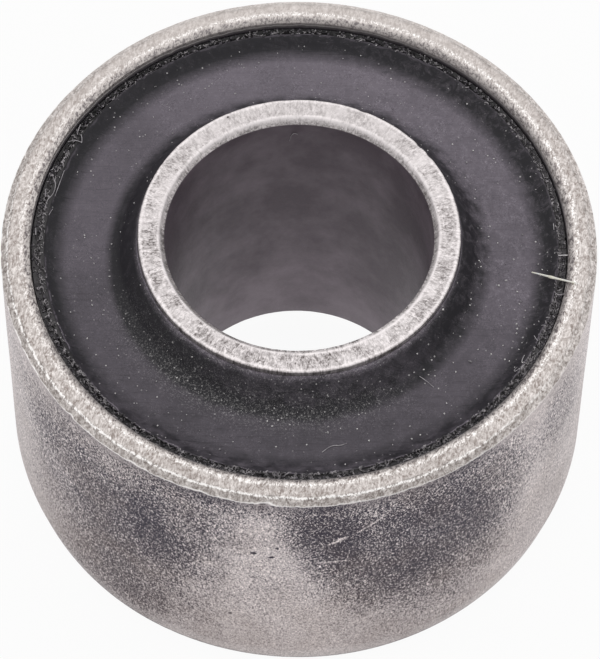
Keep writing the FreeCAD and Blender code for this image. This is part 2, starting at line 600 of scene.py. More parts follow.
# Scratches and dark nicks on the wall, in the same terms
WALL_SCRATCHES = (
    (278.0, 27.75, 25.94, 1.8, 0.3, -33.0, 1.0),
    (278.8, 27.75, 26.45, 0.9, 0.24, -24.0, 0.7),
    (282.2, 27.75, 27.3, 1.8, 0.22, -34.0, 0.65),
    (285.5, 27.75, 28.6, 1.5, 0.2, -44.0, 0.6),
    (277.6, 27.75, 22.1, 2.1, 0.24, 0.0, 0.8),
    (315.0, 27.75, 30.4, 0.12, 1.7, 4.0, 0.5),
    (262.2, 27.75, 23.5, 0.42, 0.28, 0.0, -1.9),
    (265.6, 27.75, 23.06, 0.38, 0.26, -20.0, -1.8),
    (266.7, 27.75, 24.8, 0.24, 0.26, 0.0, -1.7),
    (257.5, 27.75, 10.8, 0.24, 0.26, 0.0, -1.5),
)
# A pit in the tube's end, in the same terms
PIT_ANGLE = 118.1
PIT_RADIUS = 14.61
TUBE_PITS = ((PIT_ANGLE, PIT_RADIUS, 34.97, 0.15, 0.15, 0.0, -2.6),)
# Clouds in the bloom on the flat rubber, in the same terms
BLOOM_PATCHES = (
    (352.0, 20.5, 31.5, 4.6, 6.0, 0.0, 0.22),
    (196.0, 20.5, 31.5, 5.0, 6.0, 0.0, -0.02),
    (140.0, 21.5, 31.5, 4.0, 6.0, 0.0, -0.2),
)


def blasted_sleeve_steel(sleeve):
    """Drawn steel tube, shot blasted, then cut off and ground on its ends.

    Blasting gives the wall a fine dark and light speckle with painted glints, and cloudy oil patches
    with painted dark and light reflections. The ends are pale, with coarse marks that all run one way,
    and painted highlights as thin bright lines along their edges.
    """
    material, tree, shader = new_material("shot blasted steel")
    place, outward, radius, height = ring_coordinates(tree)
    top = sleeve.top / MM
    bottom = sleeve.bottom / MM
    outer = sleeve.outer_radius / MM
    edge = sleeve.edge_chamfer / MM
    mouth = (sleeve.outer_radius - sleeve.wall + sleeve.mouth_chamfer) / MM

    upright = add_node(
        tree, "ShaderNodeVectorMath", {0: place, 1: (1.0, 1.0, BLAST_STRETCH)}, operation="MULTIPLY"
    )
    grain = add_node(
        tree,
        "ShaderNodeTexNoise",
        {
            "Vector": upright,
            "Scale": 1 / BLAST_PIT,
            "Detail": 3.0,
            "Roughness": 0.75,
            "Distortion": 0.6,
        },
    )
    mottle = add_node(
        tree,
        "ShaderNodeTexNoise",
        {"Vector": place, "Scale": 1 / MOTTLE, "Detail": 4.0, "Roughness": 0.6},
    )
    wander = add_node(
        tree,
        "ShaderNodeVectorMath",
        {0: mottle.outputs["Color"], "Scale": PATCH_DRIFT},
        operation="SCALE",
    )
    shifted = add_node(tree, "ShaderNodeVectorMath", {0: place, 1: wander}, operation="ADD")
    half_drift = (PATCH_DRIFT / 2, PATCH_DRIFT / 2, PATCH_DRIFT / 2)
    centred = add_node(
        tree, "ShaderNodeVectorMath", {0: shifted, 1: half_drift}, operation="SUBTRACT"
    )

    # Wall: painted reflections, oil patches and mottle set its tone, and the grain breaks it up
    mottle_tone = add_node(
        tree,
        "ShaderNodeMapRange",
        {"Value": mottle, "From Min": 0.3, "From Max": 0.7, "To Min": 0.63, "To Max": 0.82},
    )
    tone = add_patches(tree, centred, mottle_tone, PAINTED_REFLECTIONS_AND_OIL_PATCHES)
    tone = add_patches(tree, place, tone, WALL_SCRATCHES)
    # The pits carry painted glints, which stand out most where the wall is painted dark, and least low
    # down
    painted_glint_contrast = add_node(
        tree,
        "ShaderNodeMapRange",
        {"Value": tone, "From Min": 0.15, "From Max": 0.65, "To Min": 1.4, "To Max": 0.75},
    )
    coarse = add_node(
        tree,
        "ShaderNodeMapRange",
        {"Value": height, "From Min": bottom, "From Max": bottom + 11, "To Min": 0.62, "To Max": 1.0},
    )
    painted_glint_contrast = add_node(tree, "ShaderNodeMath", {0: painted_glint_contrast, 1: coarse}, operation="MULTIPLY")
    # Handling has smoothed the wall just under the chamfer
    handled = add_node(
        tree,
        "ShaderNodeMapRange",
        {
            "Value": height,
            "From Min": top - edge - 2.0,
            "From Max": top - edge - 0.4,
            "To Min": 1.0,
            "To Max": 0.42,
        },
        interpolation_type="SMOOTHSTEP",
    )
    painted_glint_contrast = add_node(tree, "ShaderNodeMath", {0: painted_glint_contrast, 1: handled}, operation="MULTIPLY")
    pits = add_node(
        tree,
        "ShaderNodeMapRange",
        {"Value": grain, "From Min": 0.3, "From Max": 0.7, "To Min": -1.0, "To Max": 1.0},
        clamp=False,
    )
    pits = add_node(tree, "ShaderNodeMath", {0: pits, 1: painted_glint_contrast}, operation="MULTIPLY")
    tone = add_node(tree, "ShaderNodeMath", {0: tone, 1: pits}, operation="ADD")
    tone = add_node(tree, "ShaderNodeMath", {0: tone, 1: 0.0}, operation="MAXIMUM")
    wall = add_node(
        tree,
        "ShaderNodeMix",
        {"Factor": tone, "A": opaque(sleeve.dark_steel_and_shade), "B": opaque(sleeve.light_steel)},
        data_type="RGBA",
        clamp_factor=False,
    )
    low_oil = add_node(
        tree,
        "ShaderNodeMapRange",
        {"Value": height, "From Min": top - 8, "From Max": bottom + 5, "To Min": 0.0, "To Max": 0.22},
        interpolation_type="SMOOTHSTEP",
    )
    # Faint brown clouds too, where the oil has dried
    brown = add_node(
        tree,
        "ShaderNodeMapRange",
        {"Value": mottle.outputs["Color"], "From Min": 0.46, "From Max": 0.62, "To Max": 0.16},
    )
    brown = add_node(tree, "ShaderNodeMath", {0: low_oil, 1: brown}, operation="ADD")
    wall = add_node(
        tree,
        "ShaderNodeMix",
        {"Factor": brown, "A": wall, "B": opaque(sleeve.brown_steel)},
        data_type="RGBA",
    )
    # Painted shade darkens the lowest edge of the taper
    painted_foot_shade = band(tree, height, bottom, 0.75, 0.5)
    wall = add_node(
        tree,
        "ShaderNodeMix",
        {"Factor": painted_foot_shade, "A": wall, "B": opaque(sleeve.dark_steel_and_shade)},
        data_type="RGBA",
    )

    # Cut ends: short marks that all run the same way across the face, on the chamfer too
    marks_place = add_node(
        tree,
        "ShaderNodeMapping",
        {
            "Vector": place,
            "Rotation": (0.0, 0.0, math.radians(GRIND_LEAN)),
            "Scale": (1.0, GRIND_STRETCH, 1.0),
        },
        vector_type="TEXTURE",
    )
    marks = add_node(
        tree,
        "ShaderNodeTexNoise",
        {
            "Vector": marks_place,
            "Scale": 1 / GRIND_LINE,
            "Detail": 2.0,
            "Roughness": 0.6,
            "Distortion": 1.1,
        },
    )
    dents = add_node(
        tree,
        "ShaderNodeTexNoise",
        {
            "Vector": place,
            "Scale": 1 / GRIND_DENT,
            "Detail": 3.0,
            "Roughness": 0.6,
            "Distortion": 1.6,
        },
    )
    rough = add_node(tree, "ShaderNodeMath", {0: dents, 1: 0.75, 2: marks}, operation="MULTIPLY_ADD")
    mark_tone = add_node(
        tree,
        "ShaderNodeMapRange",
        {"Value": rough, "From Min": 0.66, "From Max": 1.12, "To Min": -0.4, "To Max": 0.95},
    )
    # The far side was ground finer, so its marks stand out less
    finer = arc(tree, outward, 90.0, 80.0, 0.55)
    mark_tone = add_node(
        tree, "ShaderNodeMix", {"Factor": finer, "A": mark_tone, "B": 0.34}, data_type="FLOAT"
    )
    cut = add_node(
        tree,
        "ShaderNodeMix",
        {"Factor": mark_tone, "A": opaque(sleeve.cut_steel), "B": opaque(sleeve.bright_steel)},
        data_type="RGBA",
        clamp_factor=False,
    )
    # The chamfer is painted darker than the face in places, as painted shade broken up by the dents, and
    # the line between them wanders
    ripple = add_node(
        tree,
        "ShaderNodeTexNoise",
        {"Vector": place, "Scale": 1 / EDGE_RIPPLE, "Detail": 3.0, "Roughness": 0.6},
    )
    wavering = wandering(tree, radius, ripple, 0.07)
    dull = add_node(
        tree,
        "ShaderNodeMapRange",
        {"Value": dents, "From Min": 0.35, "From Max": 0.65, "To Min": 0.74, "To Max": 1.04},
    )
    # The painted shade on the chamfer is lightest on the far side, which faces the light, and darkest on
    # the near side
    lighter_side = arc(tree, outward, 70.0, 130.0, 0.36)
    dull = add_node(tree, "ShaderNodeMath", {0: dull, 1: lighter_side}, operation="ADD")
    on_chamfer = add_node(
        tree,
        "ShaderNodeMapRange",
        {"Value": wavering, "From Min": outer - edge + 0.02, "From Max": outer - edge + 0.14},
    )
    chamfer = add_node(
        tree, "ShaderNodeMix", {"Factor": on_chamfer, "A": 1.0, "B": dull}, data_type="FLOAT"
    )
    cut = add_node(
        tree,
        "ShaderNodeMix",
        {"Factor": 1.0, "A": cut, "B": chamfer},
        data_type="RGBA",
        blend_type="MULTIPLY",
    )
    # Painted highlight along the rounded inner edge, broken up by the grain
    ridge = band(tree, wavering, mouth + 0.15, 0.34, 1.2)
    speckle = add_node(
        tree,
        "ShaderNodeMapRange",
        {"Value": grain, "From Min": 0.42, "From Max": 0.6, "To Min": 0.05, "To Max": 1.0},
    )
    ridge = add_node(tree, "ShaderNodeMath", {0: ridge, 1: speckle}, operation="MULTIPLY")
    # It is faintest at the left, where the rounding is flatter
    ridge = varied_round(tree, outward, ridge, (175.0, 70.0, -0.45), 1.0)
    # A painted highlight as a thin bright line on the face's outer edge, clearest on the near side
    rim = band(tree, wavering, outer - edge + 0.05, 0.14, 0.85)
    rim = varied_round(tree, outward, rim, (245.0, 98.0, 1.9), 0.28)
    curls = add_node(
        tree,
        "ShaderNodeMapRange",
        {"Value": rough, "From Min": 0.74, "From Max": 0.98, "To Min": 0.05, "To Max": 1.0},
    )
    lines = add_node(tree, "ShaderNodeMath", {0: ridge, 1: rim}, operation="ADD")
    lines = add_node(tree, "ShaderNodeMath", {0: lines, 1: curls}, operation="MULTIPLY")
    cut = add_node(
        tree,
        "ShaderNodeMix",
        {"Factor": lines, "A": cut, "B": opaque(sleeve.edge_highlight_steel)},
        data_type="RGBA",
    )
    # The wall's finish gives way to the cut finish at the chamfer's wandering lower edge
    edge_height = wandering(tree, height, ripple, 0.1)
    upper = add_node(
        tree,
        "ShaderNodeMapRange",
        {"Value": edge_height, "From Min": top - edge - 0.06, "From Max": top - edge + 0.02},
    )
    lower = add_node(
        tree,
        "ShaderNodeMapRange",
        {"Value": edge_height, "From Min": bottom + 0.16, "From Max": bottom + 0.08},
    )
    ends = add_node(tree, "ShaderNodeMath", {0: upper, 1: lower}, operation="MAXIMUM")
    inside = add_node(
        tree,
        "ShaderNodeMapRange",
        {"Value": radius, "From Min": outer - 1.2, "From Max": outer - 1.3},
    )
    ends = add_node(tree, "ShaderNodeMath", {0: ends, 1: inside}, operation="MAXIMUM")
    colour = add_node(tree, "ShaderNodeMix", {"Factor": ends, "A": wall, "B": cut}, data_type="RGBA")
    # The sleeve's bore darkens downwards from its mouth into the gap: painted shade in the gap, and a
    # film of torn rubber
    in_bore = add_node(
        tree,
        "ShaderNodeMapRange",
        {"Value": radius, "From Min": mouth - 0.5, "From Max": mouth - 0.65},
    )
    shade_and_rubber_film = add_node(
        tree,
        "ShaderNodeMapRange",
        {"Value": edge_height, "From Min": top - 0.2, "From Max": top - 1.15, "To Max": 0.85},
    )
    shade_and_rubber_film = add_node(tree, "ShaderNodeMath", {0: shade_and_rubber_film, 1: in_bore}, operation="MULTIPLY")
    # On the near side the black reaches a little way up the rounding
    near_stain = add_node(
        tree,
        "ShaderNodeMapRange",
        {"Value": wavering, "From Min": mouth - 0.4, "From Max": mouth - 0.75, "To Max": 0.85},
    )
    near_stain = add_node(
        tree,
        "ShaderNodeMath",
        {0: near_stain, 1: arc(tree, outward, 270.0, 85.0, 1.0)},
        operation="MULTIPLY",
    )
    shade_and_rubber_film = add_node(tree, "ShaderNodeMath", {0: shade_and_rubber_film, 1: near_stain}, operation="MAXIMUM")
    # All round, smeared rubber clings to the rounding in blots
    blots = add_node(
        tree,
        "ShaderNodeMapRange",
        {"Value": rough, "From Min": 0.92, "From Max": 0.74, "To Min": 0.0, "To Max": 0.55},
    )
    on_rounding = add_node(
        tree,
        "ShaderNodeMapRange",
        {"Value": wavering, "From Min": mouth - 0.02, "From Max": mouth - 0.2},
    )
    blots = add_node(tree, "ShaderNodeMath", {0: blots, 1: on_rounding}, operation="MULTIPLY")
    shade_and_rubber_film = add_node(tree, "ShaderNodeMath", {0: shade_and_rubber_film, 1: blots}, operation="MAXIMUM")
    colour = add_node(
        tree,
        "ShaderNodeMix",
        {"Factor": shade_and_rubber_film, "A": colour, "B": opaque(sleeve.dark_steel_and_shade)},
        data_type="RGBA",
    )
    # A painted highlight as a thin bright line where the chamfer meets the wall
    edge_line = band(tree, edge_height, top - edge - 0.04, 0.11, 1.0)
    edge_line = varied_round(tree, outward, edge_line, (200.0, 150.0, 0.5), 0.38)
    colour = add_node(
        tree,
        "ShaderNodeMix",
        {"Factor": edge_line, "A": colour, "B": opaque(sleeve.edge_highlight_steel)},
        data_type="RGBA",
    )
    tree.links.new(colour.outputs["Result"], shader.inputs["Base Color"])

    # Rubber smeared over the rounded inner edge has dulled its shine
    metallic = add_node(
        tree,
        "ShaderNodeMapRange",
        {
            "Value": radius,
            "From Min": mouth - 0.45,
            "From Max": mouth - 0.1,
            "To Min": 0.3,
            "To Max": 0.85,
        },
    )
    tree.links.new(metallic.outputs["Result"], shader.inputs["Metallic"])
    roughness = add_node(
        tree,
        "ShaderNodeMapRange",
        {"Value": tone, "From Min": 0.0, "From Max": 1.0, "To Min": 0.62, "To Max": 0.42},
    )
    tree.links.new(roughness.outputs["Result"], shader.inputs["Roughness"])
    relief = add_node(
        tree, "ShaderNodeMix", {"Factor": ends, "A": grain, "B": marks}, data_type="FLOAT"
    )
    bump = add_node(
        tree, "ShaderNodeBump", {"Strength": 0.6, "Distance": STEEL_RELIEF, "Height": relief}
    )
    tree.links.new(bump.outputs["Normal"], shader.inputs["Normal"])
    return material


def moulded_rubber(rubber, dirt, rim):
    """Black natural rubber, moulded, with wax bloom and workshop dust on it.

    The flats are a dull violet grey, partly bloom and dust and partly a painted sheen that is lighter on
    the far side, while the slopes stay black. Pale specks lie all over it, thickest round the foot of
    the tube. Outside the rim the flash was torn off, which leaves a glossy black crumbled edge.
    """
    material, tree, shader = new_material("moulded black rubber")
    place, outward, radius, _ = ring_coordinates(tree)
    # Bloom and dust lighten the surfaces that face up, and a painted sheen does too
    texture = add_node(tree, "ShaderNodeTexCoord")
    normal = add_node(tree, "ShaderNodeSeparateXYZ", {0: texture.outputs["Normal"]})
    upright = add_node(tree, "ShaderNodeMath", {0: normal.outputs["Z"]}, operation="ABSOLUTE")
    upright = add_node(tree, "ShaderNodeMath", {0: upright, 1: 1.0}, operation="MINIMUM")
    slope = add_node(tree, "ShaderNodeMath", {0: upright}, operation="ARCCOSINE")
    flat = add_node(
        tree,
        "ShaderNodeMapRange",
        {
            "Value": slope,
            "From Min": math.radians(2),
            "From Max": math.radians(27),
            "To Min": 1.0,
            "To Max": 0.0,
        },
    )
    mottle = add_node(
        tree,
        "ShaderNodeTexNoise",
        {"Vector": place, "Scale": 1 / MOTTLE, "Detail": 5.0, "Roughness": 0.62},
    )
    cloud_and_sheen = add_node(
        tree,
        "ShaderNodeMapRange",
        {"Value": mottle, "From Min": 0.3, "From Max": 0.7, "To Min": 0.74, "To Max": 1.14},
    )
    cloud_and_sheen = add_patches(tree, place, cloud_and_sheen, BLOOM_PATCHES)
    # Painted sheen: the flats are lighter on the far side and darker on the near side
    far_side = arc(tree, outward, 85.0, 100.0, 0.34)
    cloud_and_sheen = add_node(tree, "ShaderNodeMath", {0: cloud_and_sheen, 1: far_side}, operation="ADD")
    near_side = arc(tree, outward, 262.0, 88.0, 0.42)
    cloud_and_sheen = add_node(tree, "ShaderNodeMath", {0: cloud_and_sheen, 1: near_side}, operation="SUBTRACT")
    bloom_and_sheen = add_node(tree, "ShaderNodeMath", {0: flat, 1: cloud_and_sheen}, operation="MULTIPLY")

    # Painted light on the near side's ramp, which faces the light behind, dust haze round the tube's
    # foot, and wiped lines that cross the bloom
    gather = add_node(
        tree,
        "ShaderNodeTexNoise",
        {"Vector": place, "Scale": 1 / DUST_DRIFT, "Detail": 4.0, "Roughness": 0.65},
    )
    painted_ramp_light = part_ring(tree, radius, outward, (rim - 0.7, 1.7, 1.0), (266.0, 75.0, 0.75))
    foot_haze = part_ring(tree, radius, outward, COLLAR_HAZE, (281.0, 48.0, 0.6))
    # The rubber thins out to a dusty feather edge on the tube
    feather = part_ring(tree, radius, outward, FEATHER_EDGE, (262.0, 110.0, 1.5))
    foot_haze = add_node(tree, "ShaderNodeMath", {0: foot_haze, 1: feather}, operation="ADD")
    # On the far side and the right, bloom and painted light lighten the collar's foot
    foot_bloom_and_light = part_ring(tree, radius, outward, FOOT_BLOOM_AND_LIGHT, (60.0, 125.0, 1.1))
    foot_haze = add_node(tree, "ShaderNodeMath", {0: foot_haze, 1: foot_bloom_and_light}, operation="ADD")
    haze_and_ramp_light = add_node(tree, "ShaderNodeMath", {0: painted_ramp_light, 1: foot_haze}, operation="ADD")
    # Painted shade takes the bloom off the near side's collar foot
    shaded_foot = part_ring(tree, radius, outward, SHADED_FOOT, (250.0, 85.0, 1.0))
    bloom_and_sheen = add_node(tree, "ShaderNodeMath", {0: bloom_and_sheen, 1: shaded_foot}, operation="SUBTRACT")
    patchy = add_node(
        tree,
        "ShaderNodeMapRange",
        {"Value": gather, "From Min": 0.38, "From Max": 0.62, "To Min": 0.15, "To Max": 0.85},
    )
    haze_and_ramp_light = add_node(tree, "ShaderNodeMath", {0: haze_and_ramp_light, 1: patchy}, operation="MULTIPLY")
    bloom_and_sheen = add_node(tree, "ShaderNodeMath", {0: bloom_and_sheen, 1: haze_and_ramp_light}, operation="ADD")
    # Smudges of dust, most of them on the right
    smudge = add_node(
        tree,
        "ShaderNodeTexNoise",
        {"Vector": place, "Scale": 1 / SMUDGE, "Detail": 3.0, "Roughness": 0.7, "Distortion": 0.7},
    )
    smudge = add_node(
        tree,
        "ShaderNodeMapRange",
        {"Value": smudge, "From Min": 0.42, "From Max": 0.72, "To Min": -0.04, "To Max": 0.3},
    )
    smudge = varied_round(tree, outward, smudge, (25.0, 75.0, 0.8), 0.45)
    bloom_and_sheen = add_node(tree, "ShaderNodeMath", {0: bloom_and_sheen, 1: smudge}, operation="ADD")
    wiped_place = add_node(
        tree,
        "ShaderNodeMapping",
        {"Vector": place, "Rotation": (0.0, 0.0, math.radians(38)), "Scale": (0.09, 2.6, 0.5)},
        vector_type="POINT",
    )
    wiped = add_node(tree, "ShaderNodeTexNoise", {"Vector": wiped_place, "Scale": 1.0, "Detail": 2.0})
    lines = band(tree, wiped.outputs[0], 0.5, 0.02, -0.2)
    bloom_and_sheen = add_node(tree, "ShaderNodeMath", {0: bloom_and_sheen, 1: lines}, operation="ADD")
    # The bloom is grainy, most of all where dust has gathered
    grit = add_node(
        tree,
        "ShaderNodeTexNoise",
        {"Vector": place, "Scale": 1 / GRIT, "Detail": 2.0, "Roughness": 0.6, "Distortion": 1.2},
    )
    grainy = add_node(
        tree,
        "ShaderNodeMapRange",
        {"Value": gather, "From Min": 0.4, "From Max": 0.62, "To Min": 0.5, "To Max": 2.2},
    )
    around_mean = add_node(tree, "ShaderNodeMath", {0: grit, 1: 0.5}, operation="SUBTRACT")
    grainy = add_node(
        tree, "ShaderNodeMath", {0: around_mean, 1: grainy, 2: 1.0}, operation="MULTIPLY_ADD"
    )
    bloom_and_sheen = add_node(tree, "ShaderNodeMath", {0: bloom_and_sheen, 1: grainy}, operation="MULTIPLY")
    bloom_and_sheen = add_node(tree, "ShaderNodeMath", {0: bloom_and_sheen, 1: 0.0}, operation="MAXIMUM")

    # The torn edge has no bloom, and a thin pale line follows the rim inside it
    widened = add_node(
        tree,
        "ShaderNodeMath",
        {0: radius, 1: arc(tree, outward, WIDE_TEAR, WIDE_TEAR_REACH, WIDE_TEAR_EXTRA)},
        operation="ADD",
    )
    torn = add_node(
        tree, "ShaderNodeMapRange", {"Value": widened, "From Min": rim + 0.02, "From Max": rim + 0.1}
    )
    moulded = add_node(tree, "ShaderNodeMath", {0: 1.0, 1: torn}, operation="SUBTRACT")
    bloom_and_sheen = add_node(tree, "ShaderNodeMath", {0: bloom_and_sheen, 1: moulded}, operation="MULTIPLY")
    ragged = wandering(tree, widened, gather, 0.16)
    broken = add_node(
        tree,
        "ShaderNodeMapRange",
        {"Value": gather, "From Min": 0.44, "From Max": 0.56, "To Min": 0.0, "To Max": 1.0},
    )
    rim_line = band(tree, ragged, rim, 0.12, 1.5)
    rim_line = add_node(tree, "ShaderNodeMath", {0: rim_line, 1: broken}, operation="MULTIPLY")
    # It is plainest on the near side
    rim_line = varied_round(tree, outward, rim_line, (270.0, 100.0, 0.9), 0.35)
    bloom_and_sheen = add_node(tree, "ShaderNodeMath", {0: bloom_and_sheen, 1: rim_line}, operation="MAXIMUM")
    colour = add_node(
        tree,
        "ShaderNodeMix",
        {"Factor": bloom_and_sheen, "A": opaque(rubber.black_rubber), "B": opaque(rubber.bloom_and_sheen_rubber)},
        data_type="RGBA",
        clamp_factor=False,
    )
    # At the left and right the torn edge is scuffed grey instead of glossy black, and on the near side
    # it is painted lighter, as painted light where the wall shades it
    scuff_and_light = add_node(
        tree,
        "ShaderNodeMath",
        {0: arc(tree, outward, 0.0, 48.0, 0.3), 1: arc(tree, outward, 184.0, 40.0, 0.16)},
        operation="ADD",
    )
    scuff_and_light = add_node(
        tree, "ShaderNodeMath", {0: scuff_and_light, 1: arc(tree, outward, 290.0, 70.0, 0.12)}, operation="ADD"
    )
    scuff_and_light = add_node(tree, "ShaderNodeMath", {0: scuff_and_light, 1: gather}, operation="MULTIPLY")
    edge = add_node(
        tree,
        "ShaderNodeMix",
        {"Factor": scuff_and_light, "A": opaque(rubber.torn_rubber), "B": opaque(rubber.shred_and_glint_rubber)},
        data_type="RGBA",
    )
    colour = add_node(
        tree, "ShaderNodeMix", {"Factor": torn, "A": colour, "B": edge}, data_type="RGBA"
    )

    # Fine dust: only some of the cells hold a speck, and more of them where the dust has gathered
    cells = add_node(
        tree, "ShaderNodeTexVoronoi", {"Vector": place, "Scale": 1 / DUST_CELL, "Randomness": 1.0}
    )
    chance = add_node(tree, "ShaderNodeSeparateColor", {0: cells.outputs["Color"]})
    spread = add_node(
        tree,
        "ShaderNodeMapRange",
        {"Value": gather, "From Min": 0.4, "From Max": 0.68, "To Min": 0.02, "To Max": 0.3},
    )
    spread = add_node(
        tree, "ShaderNodeMath", {0: smudge, 1: 0.5, 2: spread}, operation="MULTIPLY_ADD"
    )
    at_foot = part_ring(tree, radius, outward, FOOT_GRIT, (252.0, 66.0, 0.6))
    amount = add_node(tree, "ShaderNodeMath", {0: spread, 1: at_foot}, operation="ADD")
    amount = add_node(tree, "ShaderNodeMath", {0: amount, 1: moulded}, operation="MULTIPLY")
    held = add_node(
        tree, "ShaderNodeMath", {0: chance.outputs["Red"], 1: amount}, operation="LESS_THAN"
    )
    size = add_node(
        tree,
        "ShaderNodeMapRange",
        {
            "Value": chance.outputs["Green"],
            "From Min": 0.0,
            "From Max": 1.0,
            "To Min": 0.45 * DUST_RADIUS / DUST_CELL,
            "To Max": 1.3 * DUST_RADIUS / DUST_CELL,
        },
    )
    speck = add_node(
        tree, "ShaderNodeMath", {0: cells.outputs["Distance"], 1: size}, operation="LESS_THAN"
    )
    speck = add_node(tree, "ShaderNodeMath", {0: speck, 1: held}, operation="MULTIPLY")
    pale = add_node(
        tree,
        "ShaderNodeMapRange",
        {
            "Value": chance.outputs["Blue"],
            "From Min": 0.0,
            "From Max": 1.0,
            "To Min": 0.05,
            "To Max": 0.5,
        },
    )
    dust = add_node(tree, "ShaderNodeMath", {0: speck, 1: pale}, operation="MULTIPLY")
    film = add_node(
        tree,
        "ShaderNodeMapRange",
        {"Value": grit, "From Min": 0.54, "From Max": 0.76, "To Min": 0.0, "To Max": 0.75},
    )
    gritty = add_node(
        tree, "ShaderNodeMath", {0: feather, 1: 0.5, 2: at_foot}, operation="MULTIPLY_ADD"
    )
    gritty = add_node(
        tree, "ShaderNodeMath", {0: smudge, 1: 0.6, 2: gritty}, operation="MULTIPLY_ADD"
    )
    film = add_node(tree, "ShaderNodeMath", {0: film, 1: gritty}, operation="MULTIPLY")
    dust = add_node(tree, "ShaderNodeMath", {0: dust, 1: film}, operation="MAXIMUM")
    colour = add_node(
        tree,
        "ShaderNodeMix",
        {"Factor": dust, "A": colour, "B": opaque(dirt.grain_colour)},
        data_type="RGBA",
    )
    tree.links.new(colour.outputs["Result"], shader.inputs["Base Color"])

    roughness = add_node(
        tree,
        "ShaderNodeMapRange",
        {"Value": bloom_and_sheen, "From Min": 0.0, "From Max": 1.0, "To Min": 0.5, "To Max": 0.68},
    )
    roughness = add_node(
        tree,
        "ShaderNodeMix",
        {"Factor": torn, "A": roughness, "B": TORN_ROUGHNESS},
        data_type="FLOAT",
    )
    tree.links.new(roughness.outputs["Result"], shader.inputs["Roughness"])
    shader.inputs["IOR"].default_value = RUBBER_IOR
    shader.inputs["Specular IOR Level"].default_value = RUBBER_SPECULAR
    skin = add_node(
        tree,
        "ShaderNodeTexNoise",
        {"Vector": place, "Scale": 1 / RUBBER_GRAIN, "Detail": 2.0, "Roughness": 0.6},
    )
    lumps = add_node(
        tree,
        "ShaderNodeTexNoise",
        {"Vector": place, "Scale": 1 / TEAR, "Detail": 3.0, "Roughness": 0.6, "Distortion": 0.8},
    )
    lumps = add_node(tree, "ShaderNodeMath", {0: lumps, 1: torn}, operation="MULTIPLY")
    relief = add_node(tree, "ShaderNodeMath", {0: lumps, 1: 7.0, 2: skin}, operation="MULTIPLY_ADD")
    bump = add_node(
        tree, "ShaderNodeBump", {"Strength": 0.4, "Distance": RUBBER_RELIEF, "Height": relief}
    )
    tree.links.new(bump.outputs["Normal"], shader.inputs["Normal"])
    return material


